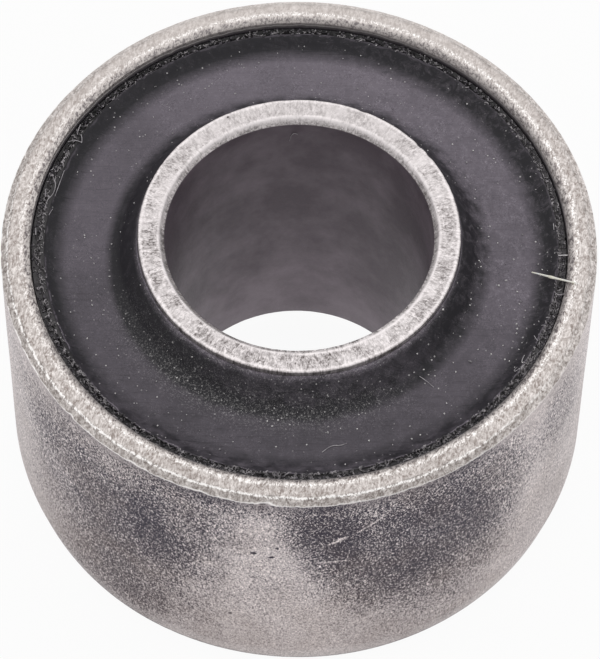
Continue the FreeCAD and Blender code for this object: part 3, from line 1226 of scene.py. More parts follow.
def faced_tube_steel(tube):
    """Drawn steel tube, sawn and faced on its ends, with mill scale left in the bore.

    The ends are the palest metal of the bush, with a coarse even grain. The bore is a smooth dark
    brown grey, and a stained band shows between the rubber and the end.
    """
    material, tree, shader = new_material("faced tube steel")
    place, outward, radius, height = ring_coordinates(tree)
    outer = tube.outer_radius / MM
    bore = tube.bore_radius / MM
    chamfer = tube.bore_chamfer_width / MM

    grain = add_node(
        tree,
        "ShaderNodeTexNoise",
        {"Vector": place, "Scale": 1 / SAW_GRAIN, "Detail": 2.0, "Roughness": 0.65, "Distortion": 0.9},
    )
    strokes_place = streak_place(tree, outward, radius, outer, 0.45)
    strokes = add_node(
        tree,
        "ShaderNodeTexNoise",
        {"Vector": strokes_place, "Scale": 1 / SAW_GRAIN, "Detail": 2.0, "Distortion": 1.1},
    )
    ripple = add_node(
        tree,
        "ShaderNodeTexNoise",
        {"Vector": place, "Scale": 1 / FACE_RIPPLE, "Detail": 3.0, "Roughness": 0.6},
    )
    rough = add_node(tree, "ShaderNodeMath", {0: grain, 1: 0.7, 2: strokes}, operation="MULTIPLY_ADD")
    rough = add_node(tree, "ShaderNodeMath", {0: ripple, 1: 0.4, 2: rough}, operation="MULTIPLY_ADD")
    # Painted shade: the near and left parts of the face are darker and coarser than the rest
    lowest = add_node(
        tree,
        "ShaderNodeMath",
        {0: -0.05, 1: arc(tree, outward, 235.0, 115.0, 0.14)},
        operation="SUBTRACT",
    )
    # Some parts came out smoother than others
    smooth = add_node(
        tree,
        "ShaderNodeTexNoise",
        {"Vector": place, "Scale": 1 / SMOOTH_SPOT, "Detail": 2.0, "Roughness": 0.5},
    )
    smooth = add_node(
        tree,
        "ShaderNodeMapRange",
        {"Value": smooth, "From Min": 0.45, "From Max": 0.62, "To Min": 0.0, "To Max": 0.5},
    )
    lowest = add_node(tree, "ShaderNodeMath", {0: lowest, 1: smooth}, operation="ADD")
    grain_tone = add_node(
        tree,
        "ShaderNodeMapRange",
        {"Value": rough, "From Min": 0.8, "From Max": 1.32, "To Min": lowest, "To Max": 0.97},
    )
    # The far side came out more even
    even = arc(tree, outward, 90.0, 80.0, 0.5)
    grain_tone = add_node(
        tree, "ShaderNodeMix", {"Factor": even, "A": grain_tone, "B": 0.56}, data_type="FLOAT"
    )
    grain_tone = add_patches(tree, place, grain_tone, TUBE_PITS)
    cut = add_node(
        tree,
        "ShaderNodeMix",
        {"Factor": grain_tone, "A": opaque(tube.cut_steel), "B": opaque(tube.bright_steel)},
        data_type="RGBA",
        clamp_factor=False,
    )
    # The bore's chamfer is pitted, and darkest where it was cut deepest
    pitted = add_node(
        tree,
        "ShaderNodeMapRange",
        {"Value": grain, "From Min": 0.36, "From Max": 0.62, "To Min": 0.58, "To Max": 1.12},
    )
    lighter_side = arc(tree, outward, 200.0, 95.0, 0.4)
    pitted = add_node(tree, "ShaderNodeMath", {0: pitted, 1: lighter_side}, operation="ADD")
    on_chamfer = add_node(
        tree,
        "ShaderNodeMapRange",
        {"Value": radius, "From Min": bore + chamfer - 0.08, "From Max": bore + chamfer - 0.28},
    )
    pitted = add_node(
        tree, "ShaderNodeMix", {"Factor": on_chamfer, "A": 1.0, "B": pitted}, data_type="FLOAT"
    )
    cut = add_node(
        tree,
        "ShaderNodeMix",
        {"Factor": 1.0, "A": cut, "B": pitted},
        data_type="RGBA",
        blend_type="MULTIPLY",
    )
    # Bright lines along the bore's chamfer and near the outer edge: burnished edges, with painted
    # highlights on them
    wavering = wandering(tree, radius, ripple, 0.09)
    inner_line = band(tree, wavering, bore + chamfer - 0.04, 0.32, 2.1)
    outer_line = band(tree, wavering, outer - 0.24, 0.27, 1.4)
    lines = add_node(tree, "ShaderNodeMath", {0: inner_line, 1: outer_line}, operation="ADD")
    lines = add_node(tree, "ShaderNodeMath", {0: lines, 1: strokes}, operation="MULTIPLY")
    cut = add_node(
        tree,
        "ShaderNodeMix",
        {"Factor": lines, "A": cut, "B": opaque(tube.bright_steel)},
        data_type="RGBA",
    )

    mottle = add_node(
        tree,
        "ShaderNodeTexNoise",
        {"Vector": place, "Scale": 1 / MOTTLE, "Detail": 4.0, "Roughness": 0.6},
    )
    rubbed = add_node(
        tree,
        "ShaderNodeMapRange",
        {"Value": height, "From Min": 14.0, "From Max": 1.0, "To Min": -1.0, "To Max": -0.4},
    )
    rubbed = add_node(
        tree,
        "ShaderNodeMath",
        {0: mottle, 1: 2.5, 2: rubbed},
        operation="MULTIPLY_ADD",
        use_clamp=True,
    )
    scale = add_node(
        tree,
        "ShaderNodeMix",
        {"Factor": rubbed, "A": opaque(tube.bore_steel), "B": opaque(tube.worn_bore)},
        data_type="RGBA",
    )
    outside = add_node(
        tree,
        "ShaderNodeMapRange",
        {"Value": radius, "From Min": outer - 0.5, "From Max": outer - 0.4},
    )
    scale = add_node(
        tree,
        "ShaderNodeMix",
        {"Factor": outside, "A": scale, "B": opaque(tube.band_steel)},
        data_type="RGBA",
    )
    bore_edge = add_node(
        tree,
        "ShaderNodeMapRange",
        {"Value": radius, "From Min": bore + 0.06, "From Max": bore + 0.01},
    )
    outside_edge = add_node(
        tree,
        "ShaderNodeMapRange",
        {"Value": radius, "From Min": outer - 0.03, "From Max": outer - 0.01},
    )
    dark = add_node(tree, "ShaderNodeMath", {0: bore_edge, 1: outside_edge}, operation="MAXIMUM")
    colour = add_node(tree, "ShaderNodeMix", {"Factor": dark, "A": cut, "B": scale}, data_type="RGBA")
    tree.links.new(colour.outputs["Result"], shader.inputs["Base Color"])
    metallic = add_node(
        tree,
        "ShaderNodeMapRange",
        {"Value": dark, "From Min": 0.0, "From Max": 1.0, "To Min": 0.9, "To Max": 0.45},
    )
    tree.links.new(metallic.outputs["Result"], shader.inputs["Metallic"])
    roughness = add_node(
        tree,
        "ShaderNodeMapRange",
        {"Value": grain, "From Min": 0.3, "From Max": 0.7, "To Min": 0.55, "To Max": 0.42},
    )
    tree.links.new(roughness.outputs["Result"], shader.inputs["Roughness"])
    bump = add_node(
        tree, "ShaderNodeBump", {"Strength": 0.6, "Distance": STEEL_RELIEF, "Height": grain}
    )
    tree.links.new(bump.outputs["Normal"], shader.inputs["Normal"])
    return material


def speckled(name, colour, other_colour, roughness, size_mm):
    """Dry matter, such as straw, lint or grit: matt, with its colour a little uneven along it."""
    material, tree, shader = new_material(name)
    place = ring_coordinates(tree)[0]
    patchy = add_node(
        tree, "ShaderNodeTexNoise", {"Vector": place, "Scale": 1 / size_mm, "Detail": 2.0}
    )
    share = add_node(
        tree, "ShaderNodeMapRange", {"Value": patchy, "From Min": 0.35, "From Max": 0.65}
    )
    mixed = add_node(
        tree,
        "ShaderNodeMix",
        {"Factor": share, "A": opaque(colour), "B": opaque(other_colour)},
        data_type="RGBA",
    )
    tree.links.new(mixed.outputs["Result"], shader.inputs["Base Color"])
    shader.inputs["Roughness"].default_value = roughness
    return material


def torn_rubber(rubber):
    """Freshly torn rubber: blacker and glossier than the moulded skin, so its crumbs glint, and some
    crumbs are painted lighter as painted glints.
    """
    material, tree, shader = new_material("torn black rubber")
    place = ring_coordinates(tree)[0]
    # Painted glints: noise colours some crumbs lighter
    tone = add_node(
        tree, "ShaderNodeTexNoise", {"Vector": place, "Scale": 1 / CRUMB_TONE, "Detail": 2.0}
    )
    colour = add_node(
        tree,
        "ShaderNodeMix",
        {"Factor": tone, "A": opaque(rubber.black_rubber), "B": opaque(rubber.bloom_and_sheen_rubber)},
        data_type="RGBA",
    )
    tree.links.new(colour.outputs["Result"], shader.inputs["Base Color"])
    shader.inputs["IOR"].default_value = RUBBER_IOR
    shader.inputs["Roughness"].default_value = TORN_ROUGHNESS
    return material


def painted_floor(stage):
    """Matt pale paint. The camera and the gloss see it almost white, with the bush's shadow left in."""
    material = bpy.data.materials.new("matt pale paint")
    material.use_nodes = True
    tree = material.node_tree
    tree.nodes.clear()
    paint = add_node(
        tree, "ShaderNodeBsdfDiffuse", {"Color": opaque(stage.floor_colour), "Roughness": 1.0}
    )
    white = add_node(tree, "ShaderNodeEmission", {"Color": (1.0, 1.0, 1.0, 1.0), "Strength": 1.0})
    seen = seen_directly(tree)
    share = add_node(tree, "ShaderNodeMath", {0: seen, 1: FLOOR_WHITE}, operation="MULTIPLY")
    both = add_node(tree, "ShaderNodeMixShader", {0: share, 1: paint, 2: white})
    add_node(tree, "ShaderNodeOutputMaterial", {"Surface": both})
    return material


def seen_directly(tree):
    """1 for what the camera sees, straight or in gloss or glass, and 0 for what only gives light."""
    path = add_node(tree, "ShaderNodeLightPath")
    seen = path.outputs["Is Camera Ray"]
    for name in ("Is Glossy Ray", "Is Transmission Ray"):
        seen = add_node(tree, "ShaderNodeMath", {0: seen, 1: path.outputs[name]}, operation="MAXIMUM")
    return seen


# Operators


class BUSH_OT_sleeve(bpy.types.Operator):
    """Build the outer sleeve over its CAD solid"""

    bl_idname = "bush.sleeve"
    bl_label = "Build Sleeve"

    def execute(self, context):
        sleeve = context.scene.bush_sleeve
        outer = sleeve.outer_radius
        inner = outer - sleeve.wall
        mouth = inner + sleeve.mouth_chamfer
        top = sleeve.top
        bottom = sleeve.bottom
        edge = sleeve.edge_chamfer
        worn = 0.12 * MM  # radius to which the edges have worn
        corners = (
            (inner, bottom + sleeve.mouth_chamfer, 0.0),
            (mouth, bottom, worn),
            (outer - sleeve.lead_in_depth, bottom, worn),
            (outer, bottom + sleeve.lead_in_length, 2.0 * MM),
            (outer, top - edge, worn),
            (outer - edge, top, worn),
            (inner, top, sleeve.mouth_chamfer),
        )

        def spacing_at(place):
            """Finest at the worn upper edges, and coarse where the rubber or the floor hides it."""
            bore = place.x <= inner + 0.1 * MM
            if place.z > top - 1.2 * MM:
                return 0.3 * MM if bore else 0.11 * MM
            return HIDDEN_SPACING if bore or place.z <= bottom + 0.1 * MM else 1.6 * MM

        mesh = ring_from_outline(corners, spacing_at)
        # The rounding inside is flattest at the far left, where the cutter left the wall almost square
        for vert in mesh.verts:
            drop = top - vert.co.z
            angle = math.degrees(math.atan2(vert.co.y, vert.co.x)) % 360
            kept = 1.0 - 0.7 * near(angle, *FLAT_MOUTH)
            if math.hypot(vert.co.x, vert.co.y) < mouth and drop < sleeve.mouth_chamfer + 0.01 * MM:
                vert.co.z = top - drop * kept
        dents = (
            (around(264.0, outer, top - edge), 0.8 * MM, 0.2 * MM),
            (around(265.6, outer - 0.3 * MM, top - 0.3 * MM), 0.8 * MM, 0.22 * MM),
            (around(252.0, outer, top - edge), 0.7 * MM, 0.08 * MM),
            (around(300.0, outer - edge, top), 0.5 * MM, 0.06 * MM),
            (around(222.0, outer, top - edge), 0.6 * MM, 0.07 * MM),
        )

        def wear_depth(place):
            """Wear of the upper edges, slow waves of the wall, and dents. The bore stays true."""
            reach = math.hypot(place.x, place.y)
            if reach < inner + 0.05 * MM:
                return 0.0
            on_edge = near(place.z, top, 1.1 * MM)
            on_ridge = near(reach, outer - edge, 0.4 * MM) * on_edge
            depth = 0.05 * MM * unevenness(place, 0.9 * MM, 1.0) * on_edge
            depth += 0.12 * MM * unevenness(place, 1.3 * MM, 9.0) * on_ridge
            depth += 0.035 * MM * unevenness(place, 0.3 * MM, 2.0) * on_edge
            depth += 0.05 * MM * unevenness(place, 9.0 * MM, 3.0)
            return depth + dents_at(place, dents)

        sink(mesh, wear_depth)
        material = blasted_sleeve_steel(sleeve)
        finished_piece("sleeve", mesh, material, "outer_sleeve")
        return {"FINISHED"}


class BUSH_OT_rubber(bpy.types.Operator):
    """Build the rubber between the sleeve and the tube over its CAD solid"""

    bl_idname = "bush.rubber"
    bl_label = "Build Rubber"

    def execute(self, context):
        sleeve = context.scene.bush_sleeve
        rubber = context.scene.bush_rubber
        tube = context.scene.bush_tube
        dirt = context.scene.bush_dirt
        inner = tube.outer_radius
        outer = sleeve.outer_radius - sleeve.wall
        gap = outer - rubber.gap_width
        torn = gap - rubber.torn_width
        rim = torn - rubber.rim_width
        soft = 0.06 * MM  # radius of the skin's rim
        corners = []
        for tube_end, sleeve_end, outward in (
            (tube.top, sleeve.top, 1.0),
            (tube.bottom, sleeve.bottom, -1.0),
        ):
            floor = sleeve_end - outward * rubber.hollow_depth
            crest = sleeve_end - outward * rubber.lip_depth
            deep = crest - outward * rubber.gap_depth
            end = [
                (inner, tube_end - outward * rubber.bare_tube_end, 0.0),
                (inner + rubber.collar_foot, floor, rubber.collar_round),
                (rim - rubber.ramp_width, floor, rubber.ramp_round),
                (rim, crest, soft),
                (torn, crest, soft),
                (torn + rubber.torn_drop, crest - outward * rubber.torn_drop, 0.0),
                (gap, crest - outward * rubber.torn_drop, 0.0),
                (gap, deep, 0.0),
                (outer, deep, 0.0),
            ]
            if outward < 0:
                end.reverse()
            corners += end

        def spacing_at(place):
            """Finest at the upper torn edge, and coarse where the rubber is bonded to the steels."""
            inside = inner + 0.01 * MM < place.x < outer - 0.01 * MM
            if not inside:
                return HIDDEN_SPACING
            if place.z < (tube.bottom + tube.top) / 2:
                return 0.4 * MM if place.x > rim - 0.1 * MM else 0.9 * MM
            return 0.1 * MM if place.x > rim - WIDE_TEAR_EXTRA * MM else 0.5 * MM

        mesh = ring_from_outline(corners, spacing_at)

        def wear_depth(place):
            """Lumps of the torn edge, a ragged rim and slow waves. The bonded faces stay true."""
            reach = math.hypot(place.x, place.y)
            if reach < inner + 0.02 * MM or reach > outer - 0.02 * MM:
                return 0.0
            angle = math.degrees(math.atan2(place.y, place.x)) % 360
            wider = WIDE_TEAR_EXTRA * MM * near(angle, WIDE_TEAR, WIDE_TEAR_REACH)
            torn_middle = (torn + gap - wider) / 2
            on_torn = near(reach, torn_middle, rubber.torn_width * 0.7 + wider / 2)
            on_rim = near(reach, rim - wider, 0.3 * MM)
            on_flat = near(reach, (inner + outer) / 2, (outer - inner) / 2)
            depth = 0.6 * MM * (unevenness(place, 0.42 * MM, 4.0) - 0.3) * on_torn
            depth += 0.3 * MM * (unevenness(place, 0.22 * MM, 5.0) - 0.3) * on_torn
            depth += 0.14 * MM * (unevenness(place, 1.8 * MM, 10.0) - 0.3) * on_rim
            return depth + 0.16 * MM * (unevenness(place, 7.0 * MM, 6.0) - 0.5) * on_flat

        sink(mesh, wear_depth)
        material = moulded_rubber(rubber, dirt, rim / MM)
        finished_piece("rubber", mesh, material, "rubber_ring")
        return {"FINISHED"}


class BUSH_OT_tube(bpy.types.Operator):
    """Build the inner tube over its CAD solid"""

    bl_idname = "bush.tube"
    bl_label = "Build Tube"

    def execute(self, context):
        tube = context.scene.bush_tube
        outer = tube.outer_radius
        bore = tube.bore_radius
        top = tube.top
        bottom = tube.bottom
        wide = tube.bore_chamfer_width
        deep = tube.bore_chamfer_depth
        # Radii of the edges: worn a little, rolled over by the hand cutter, or broken with a file
        worn = 0.12 * MM
        rolled = 0.4 * MM
        broken = 0.2 * MM
        corners = (
            (bore, bottom + deep, worn),
            (bore + wide, bottom, worn),
            (outer, bottom, broken),
            (outer, top, broken),
            (bore + wide, top, rolled),
            (bore, top - deep, worn),
        )

        def spacing_at(place):
            """Finest at the upper end, and coarse along the bore."""
            if place.z > top - 1.3 * MM:
                return 0.12 * MM
            return 2.2 * MM if place.z > bottom + 1.3 * MM else 0.35 * MM

        mesh = ring_from_outline(corners, spacing_at)
        # The upper chamfer was cut by hand: it almost runs out at the near right
        for vert in mesh.verts:
            drop = top - vert.co.z
            angle = math.degrees(math.atan2(vert.co.y, vert.co.x)) % 360
            kept = 1.15 - 0.85 * near(angle, *SHALLOW_CHAMFER)
            if math.hypot(vert.co.x, vert.co.y) < bore + wide + 0.01 * MM and drop < 1.5 * MM:
                vert.co.z = top - drop * kept
        dents = (
            (around(41.8, outer, top), 0.6 * MM, 0.12 * MM),
            (around(36.3, outer, top), 0.5 * MM, 0.08 * MM),
            (around(67.5, outer, top), 0.6 * MM, 0.07 * MM),
            (around(176.0, outer - 0.7 * MM, top), 0.22 * MM, 0.12 * MM),
            (around(PIT_ANGLE, PIT_RADIUS * MM, top), 0.25 * MM, 0.1 * MM),
        )

        def wear_depth(place):
            """Unevenness of both cut ends, and dents."""
            on_end = max(near(place.z, top, 1.0 * MM), near(place.z, bottom, 1.0 * MM))
            depth = 0.04 * MM * unevenness(place, 0.8 * MM, 7.0) * on_end
            depth += 0.03 * MM * unevenness(place, 0.25 * MM, 8.0) * on_end
            return depth + dents_at(place, dents)

        sink(mesh, wear_depth)
        material = faced_tube_steel(tube)
        finished_piece("tube", mesh, material, "inner_tube")
        return {"FINISHED"}


def upper_surface():
    """A tree of the three finished pieces, to drop loose dirt on to from above."""
    mesh = bmesh.new()
    for name in ("sleeve", "rubber", "tube"):
        mesh.from_mesh(bpy.data.objects[name].data)
    tree = BVHTree.FromBMesh(mesh)
    mesh.free()
    return tree


def dropped(tree, x, y):
    """Where something dropped at x and y lands, and the surface's normal there."""
    start = Vector((x, y, TUBE_HIGH.z + DROP))
    place, normal, _, _ = tree.ray_cast(start, Vector((0.0, 0.0, -1.0)))
    if place is None:
        raise RuntimeError("nothing lies below the dirt")
    return place, normal


def add_lump(mesh, draw, centre, size, flatness):
    """Adds one uneven lump of 20 faces to a bmesh."""
    made = bmesh.ops.create_icosphere(mesh, subdivisions=1, radius=size)
    turn = Euler([draw.uniform(0.0, FULL_TURN) for _ in range(3)]).to_matrix()
    for vert in made["verts"]:
        vert.co = turn @ (vert.co * draw.uniform(0.6, 1.25))
        vert.co.z *= flatness
        vert.co += centre


def swept_fibres(name, lines, detail, sides):
    """A bmesh of thin fibres. Each line is a list of (place, radius) that a smooth curve follows."""
    curve = bpy.data.curves.new(name, "CURVE")
    curve.dimensions = "3D"
    curve.bevel_depth = 1.0
    curve.bevel_resolution = sides
    curve.resolution_u = detail
    curve.use_fill_caps = True
    for line in lines:
        spline = curve.splines.new("NURBS")
        spline.points.add(len(line) - 1)
        for point, (place, radius) in zip(spline.points, line):
            point.co = (*place, 1.0)
            point.radius = radius
        spline.order_u = 3
        spline.use_endpoint_u = True
    holder = bpy.data.objects.new(name, curve)
    data = bpy.data.meshes.new_from_object(holder)
    mesh = bmesh.new()
    mesh.from_mesh(data)
    bpy.data.objects.remove(holder)
    bpy.data.curves.remove(curve)
    bpy.data.meshes.remove(data)
    bmesh.ops.recalc_face_normals(mesh, faces=mesh.faces)
    return mesh


# A straw that leans from the hollow's floor on to the sleeve: points (x, y, height, radius) in mm
STRAW = (
    (21.69, -1.78, 31.55, 0.06),
    (22.41, -2.22, 31.95, 0.08),
    (23.03, -2.7, 32.4, 0.09),
    (23.42, -3.01, 32.7, 0.16),
    (23.82, -3.28, 32.95, 0.1),
    (24.44, -3.66, 33.3, 0.09),
    (25.06, -4.01, 33.6, 0.08),
    (25.61, -4.19, 33.66, 0.06),
    (25.89, -4.23, 33.62, 0.03),
)
# Lint that lies on the bush: points (x, y, height above what carries it, radius) in mm
LINTS = (
    (
        (2.35, -21.2, 0.04, 0.035),
        (2.9, -20.7, 0.05, 0.05),
        (3.4, -20.45, 0.05, 0.05),
        (4.0, -20.5, 0.03, 0.05),
        (4.6, -20.2, 0.03, 0.03),
    ),
    ((23.65, -4.5, 0.2, 0.03), (23.95, -4.97, 0.2, 0.045), (24.5, -5.17, 0.3, 0.04)),
    ((22.87, -7.32, 0.12, 0.04), (23.05, -7.26, 0.16, 0.055), (23.24, -7.25, 0.12, 0.04)),
    ((22.4, -8.07, 0.1, 0.03), (22.66, -8.12, 0.14, 0.04), (22.92, -8.17, 0.1, 0.03)),
    ((21.75, -9.07, 0.1, 0.03), (21.86, -9.5, 0.14, 0.04), (22.05, -9.84, 0.1, 0.035)),
    ((20.83, -11.2, 0.1, 0.03), (20.59, -11.61, 0.14, 0.045), (20.55, -12.06, 0.1, 0.035)),
    (
        (20.13, -12.51, 0.1, 0.03),
        (19.83, -12.79, 0.14, 0.04),
        (19.9, -13.14, 0.14, 0.04),
        (20.27, -12.81, 0.1, 0.03),
    ),
    ((23.72, 3.02, 0.12, 0.03), (23.75, 2.7, 0.15, 0.045), (23.76, 2.36, 0.12, 0.03)),
    ((11.2, -13.2, 0.05, 0.03), (11.8, -13.5, 0.08, 0.03), (12.5, -14.2, 0.05, 0.03)),
    ((-20.8, 13.36, 0.25, 0.03), (-21.03, 12.88, 0.35, 0.04), (-21.11, 12.35, 0.15, 0.04)),
    ((-20.76, 12.22, 0.12, 0.04), (-20.59, 11.96, 0.2, 0.035), (-20.66, 11.47, 0.08, 0.03)),
    (
        (-21.95, 11.46, 0.12, 0.03),
        (-21.56, 11.55, 0.25, 0.04),
        (-21.18, 11.5, 0.25, 0.04),
        (-20.66, 11.52, 0.08, 0.03),
    ),
    (
        (-23.23, 7.58, 0.15, 0.03),
        (-22.95, 6.95, 0.2, 0.04),
        (-22.93, 6.22, 0.2, 0.04),
        (-23.15, 5.44, 0.15, 0.035),
        (-23.69, 4.72, 0.2, 0.03),
        (-23.82, 3.69, 0.15, 0.025),
    ),
    (
        (-22.18, 8.36, 0.06, 0.025),
        (-22.48, 7.27, 0.08, 0.035),
        (-22.73, 6.28, 0.08, 0.035),
        (-22.95, 5.48, 0.06, 0.025),
    ),
    ((-23.83, 5.95, 0.1, 0.06), (-23.84, 5.6, 0.15, 0.1), (-23.82, 5.3, 0.1, 0.06)),
    ((-23.11, 4.12, 0.06, 0.03), (-23.3, 3.7, 0.08, 0.03), (-23.44, 3.35, 0.06, 0.025)),
    ((-24.25, 2.0, 0.12, 0.04), (-24.1, 1.75, 0.2, 0.05), (-23.98, 1.49, 0.12, 0.04)),
    ((-24.57, 1.75, 0.15, 0.05), (-24.56, 1.4, 0.2, 0.07), (-24.55, 1.1, 0.12, 0.05)),
)
# A short white fibre that bridges the torn edge, in the same terms as the straw
WHITE_FIBRE = (
    (24.1, -0.55, 32.62, 0.045),
    (24.5, -0.62, 32.75, 0.065),
    (24.95, -0.68, 32.88, 0.055),
)
# A curled hair on the wall of the bore, in the same terms
BORE_HAIR = (
    (-1.04, 12.4, 31.69, 0.02),
    (-0.95, 12.4, 32.36, 0.03),
    (-0.81, 12.41, 32.78, 0.035),
    (-0.53, 12.43, 33.02, 0.035),
    (-0.29, 12.44, 32.76, 0.03),
)
# The largest grains: places (x, y, radius) in mm
LARGE_GRAINS = (
    (18.6, -3.2, 0.13),
    (19.2, -2.6, 0.08),
    (13.24, -7.51, 0.13),
    (15.86, -5.67, 0.08),
    (20.63, -4.88, 0.11),
    (20.48, -5.12, 0.08),
    (20.2, -7.31, 0.12),
    (21.13, -7.9, 0.09),
    (20.17, -8.37, 0.1),
    (20.65, -9.5, 0.08),
    (16.59, -10.16, 0.1),
    (15.94, -11.49, 0.11),
    (15.86, -11.42, 0.1),
    (19.07, -11.22, 0.11),
    (20.37, -10.25, 0.08),
    (21.03, -5.87, 0.08),
    (20.92, -6.62, 0.09),
    (16.57, -6.47, 0.08),
    (19.86, -9.24, 0.08),
    (18.91, -9.66, 0.07),
    (17.85, 3.3, 0.09),
    (20.9, 2.45, 0.09),
    (22.1, 1.6, 0.1),
    (22.3, -0.85, 0.09),
    (20.25, -7.85, 0.1),
    (20.6, -4.85, 0.07),
    (-1.37, -17.75, 0.11),
    (-1.7, -17.95, 0.11),
    (2.85, -19.1, 0.12),
    (-2.2, -18.55, 0.11),
    (-1.85, -20.7, 0.1),
)


class BUSH_OT_dirt(bpy.types.Operator):
    """Scatter dust, crumbs, shreds and fibres on the finished bush"""

    bl_idname = "bush.dirt"
    bl_label = "Scatter Dirt"

    def execute(self, context):
        sleeve = context.scene.bush_sleeve
        rubber = context.scene.bush_rubber
        dirt = context.scene.bush_dirt
        surface = upper_surface()
        draw = random.Random(DIRT_SEED)
        inner = TUBE_HIGH.x
        outer = sleeve.outer_radius - sleeve.wall
        torn_middle = outer - rubber.gap_width - rubber.torn_width / 2

        grains = bmesh.new()
        for x, y, size in LARGE_GRAINS:
            place, normal = dropped(surface, x * MM, y * MM)
            add_lump(grains, draw, place + normal * size * 0.5 * MM, size * MM, 0.9)
        for _ in range(dirt.grains):
            reach = draw.uniform(inner + 0.4 * MM, outer - 0.9 * MM)
            spot = around(draw.uniform(0.0, 360.0), reach, 0.0)
            place, normal = dropped(surface, spot.x, spot.y)
            size = draw.uniform(0.04, 0.1) * MM
            add_lump(grains, draw, place + normal * size * 0.5, size, 0.8)
        grit = speckled("pale mineral dust", dirt.grain_colour, dirt.dim_colour, 0.9, 0.7)
        finished_piece("dust_grains", grains, grit)

        crumbs = bmesh.new()
        for _ in range(dirt.crumbs):
            reach = torn_middle + draw.uniform(-0.42, 0.36) * MM
            spot = around(draw.uniform(0.0, 360.0), reach, 0.0)
            place, normal = dropped(surface, spot.x, spot.y)
            size = draw.uniform(0.05, 0.15) * MM
            add_lump(crumbs, draw, place + normal * size * 0.4, size, 0.8)
        gloss = torn_rubber(rubber)
        finished_piece("rubber_crumbs", crumbs, gloss)

        lines = []
        for _ in range(dirt.shreds):
            angle = draw.uniform(0.0, 360.0)
            reach = torn_middle + draw.uniform(-0.36, 0.3) * MM
            # More of them lie near the rim at the left, the right and the near side
            if draw.random() < 0.35:
                angle = draw.choice(SHRED_SIDES) + draw.uniform(-40.0, 40.0)
                reach = torn_middle - draw.uniform(0.16, 0.38) * MM
            reach -= WIDE_TEAR_EXTRA * MM * near(angle, WIDE_TEAR, WIDE_TEAR_REACH) * draw.random()
            innermost = reach - 0.2 * MM
            turn = draw.uniform(0.06, 0.3)
            line = []
            for _ in range(4):
                spot = around(angle, reach, 0.0)
                place, _ = dropped(surface, spot.x, spot.y)
                lift = draw.uniform(0.03, 0.16) * MM
                line.append((place + Vector((0.0, 0.0, lift)), draw.uniform(0.03, 0.075) * MM))
                angle += turn
                reach += draw.uniform(-0.16, 0.16) * MM
                reach = max(innermost, min(torn_middle + 0.38 * MM, reach))
            lines.append(line)
        shreds = swept_fibres("rubber_shreds", lines, 2, 0)
        # The threads' pale colour is dust, with painted glints too
        threads = speckled("dusty rubber threads", rubber.shred_and_glint_rubber, rubber.torn_rubber, 0.4, 0.5)
        finished_piece("rubber_shreds", shreds, threads)

        def lying(group):
            """The line of a fibre that lies on whatever carries it."""
            line = []
            for x, y, lift, radius in group:
                place, _ = dropped(surface, x * MM, y * MM)
                line.append((place + Vector((0.0, 0.0, lift * MM)), radius * MM))
            return line

        def leaning(group):
            """The line of a fibre that keeps its own heights."""
            return [(Vector((x, y, height)) * MM, radius * MM) for x, y, height, radius in group]

        lint = [lying(group) for group in LINTS]
        for name, lines, colours, roughness in (
            ("straw_fibre", [leaning(STRAW)], (dirt.straw_colour, dirt.husk_colour), 0.6),
            ("white_fibre", [leaning(WHITE_FIBRE)], (dirt.lint_colour, dirt.grain_colour), 0.8),
            ("bore_hair", [leaning(BORE_HAIR)], (dirt.dim_colour, dirt.lint_colour), 0.8),
            ("lint_fibres", lint, (dirt.lint_colour, dirt.dim_colour), 0.85),
        ):
            fibres = swept_fibres(name, lines, 5, 2)
            dry = speckled(name.replace("_", " "), *colours, roughness, 0.8)
            finished_piece(name, fibres, dry)
        return {"FINISHED"}


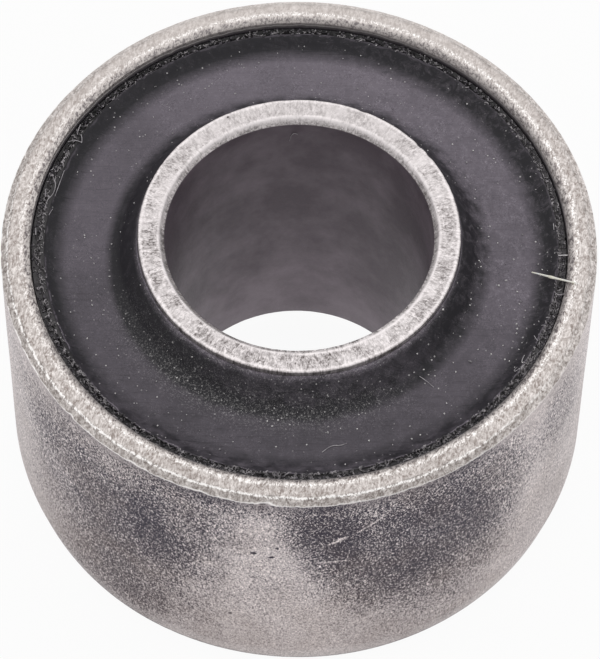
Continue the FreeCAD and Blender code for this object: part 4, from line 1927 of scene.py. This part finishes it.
class BUSH_OT_stage(bpy.types.Operator):
    """Set the floor, the soft light and the photograph's camera"""

    bl_idname = "bush.stage"
    bl_label = "Set Stage"

    def execute(self, context):
        scene = context.scene
        stage = scene.bush_stage
        scene.view_settings.view_transform = "Standard"

        mesh = bmesh.new()
        bmesh.ops.create_circle(mesh, cap_ends=True, segments=96, radius=stage.floor_radius)
        data = bpy.data.meshes.new("floor")
        mesh.to_mesh(data)
        mesh.free()
        data.materials.append(painted_floor(stage))
        floor = bpy.data.objects.new("floor", data)
        scene.collection.objects.link(floor)

        world = bpy.data.worlds.new("pale room")
        world.use_nodes = True
        tree = world.node_tree
        tree.nodes.clear()
        strength = add_node(
            tree,
            "ShaderNodeMapRange",
            {"Value": seen_directly(tree), "To Min": stage.room_light, "To Max": 1.0},
        )
        room = add_node(
            tree, "ShaderNodeBackground", {"Color": (1.0, 1.0, 1.0, 1.0), "Strength": strength}
        )
        add_node(tree, "ShaderNodeOutputWorld", {"Surface": room})
        scene.world = world

        centre = Vector((0.0, 0.0, 0.02))
        for name, place, size, power in (
            ("top softbox", (0.0, 0.3, 0.85), 1.1, stage.top_light),
            ("left softbox", (-0.9, -0.1, 0.45), 0.7, stage.side_light),
            ("right softbox", (0.9, -0.1, 0.45), 0.7, stage.side_light),
        ):
            lamp = bpy.data.lights.new(name, "AREA")
            lamp.shape = "SQUARE"
            lamp.size = size
            lamp.energy = power
            holder = bpy.data.objects.new(name, lamp)
            holder.location = place
            aim = centre - Vector(place)
            holder.rotation_euler = aim.to_track_quat("-Z", "Y").to_euler()
            scene.collection.objects.link(holder)

        view = bpy.data.cameras.new("photograph view")
        view.lens = stage.camera_lens
        view.sensor_width = 36.0
        view.sensor_fit = "AUTO"
        view.clip_start = 0.01
        camera = bpy.data.objects.new("photograph view", view)
        camera.location = stage.camera_place
        camera.rotation_euler = Euler(stage.camera_turn)
        scene.collection.objects.link(camera)
        scene.camera = camera
        return {"FINISHED"}


class VIEW3D_PT_bush(bpy.types.Panel):
    """The bush's operators, in building order"""

    bl_label = "Rubber Metal Bush"
    bl_idname = "VIEW3D_PT_bush"
    bl_space_type = "VIEW_3D"
    bl_region_type = "UI"
    bl_category = "Bush"

    def draw(self, context):
        for operator in OPERATORS:
            self.layout.operator(operator.bl_idname)


SETTINGS = {
    "bush_sleeve": SleeveSettings,
    "bush_rubber": RubberSettings,
    "bush_tube": TubeSettings,
    "bush_dirt": DirtSettings,
    "bush_stage": StageSettings,
}
OPERATORS = (BUSH_OT_sleeve, BUSH_OT_rubber, BUSH_OT_tube, BUSH_OT_dirt, BUSH_OT_stage)
CLASSES = (*SETTINGS.values(), *OPERATORS, VIEW3D_PT_bush)


def register():
    for cls in CLASSES:
        bpy.utils.register_class(cls)
    for name, group in SETTINGS.items():
        setattr(bpy.types.Scene, name, PointerProperty(type=group))


def unregister():
    for name in SETTINGS:
        delattr(bpy.types.Scene, name)
    for cls in reversed(CLASSES):
        bpy.utils.unregister_class(cls)


def main():
    """Registers the classes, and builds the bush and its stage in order."""
    register()
    bpy.ops.bush.sleeve()
    bpy.ops.bush.rubber()
    bpy.ops.bush.tube()
    bpy.ops.bush.dirt()
    bpy.ops.bush.stage()


if __name__ == "__main__":
    main()
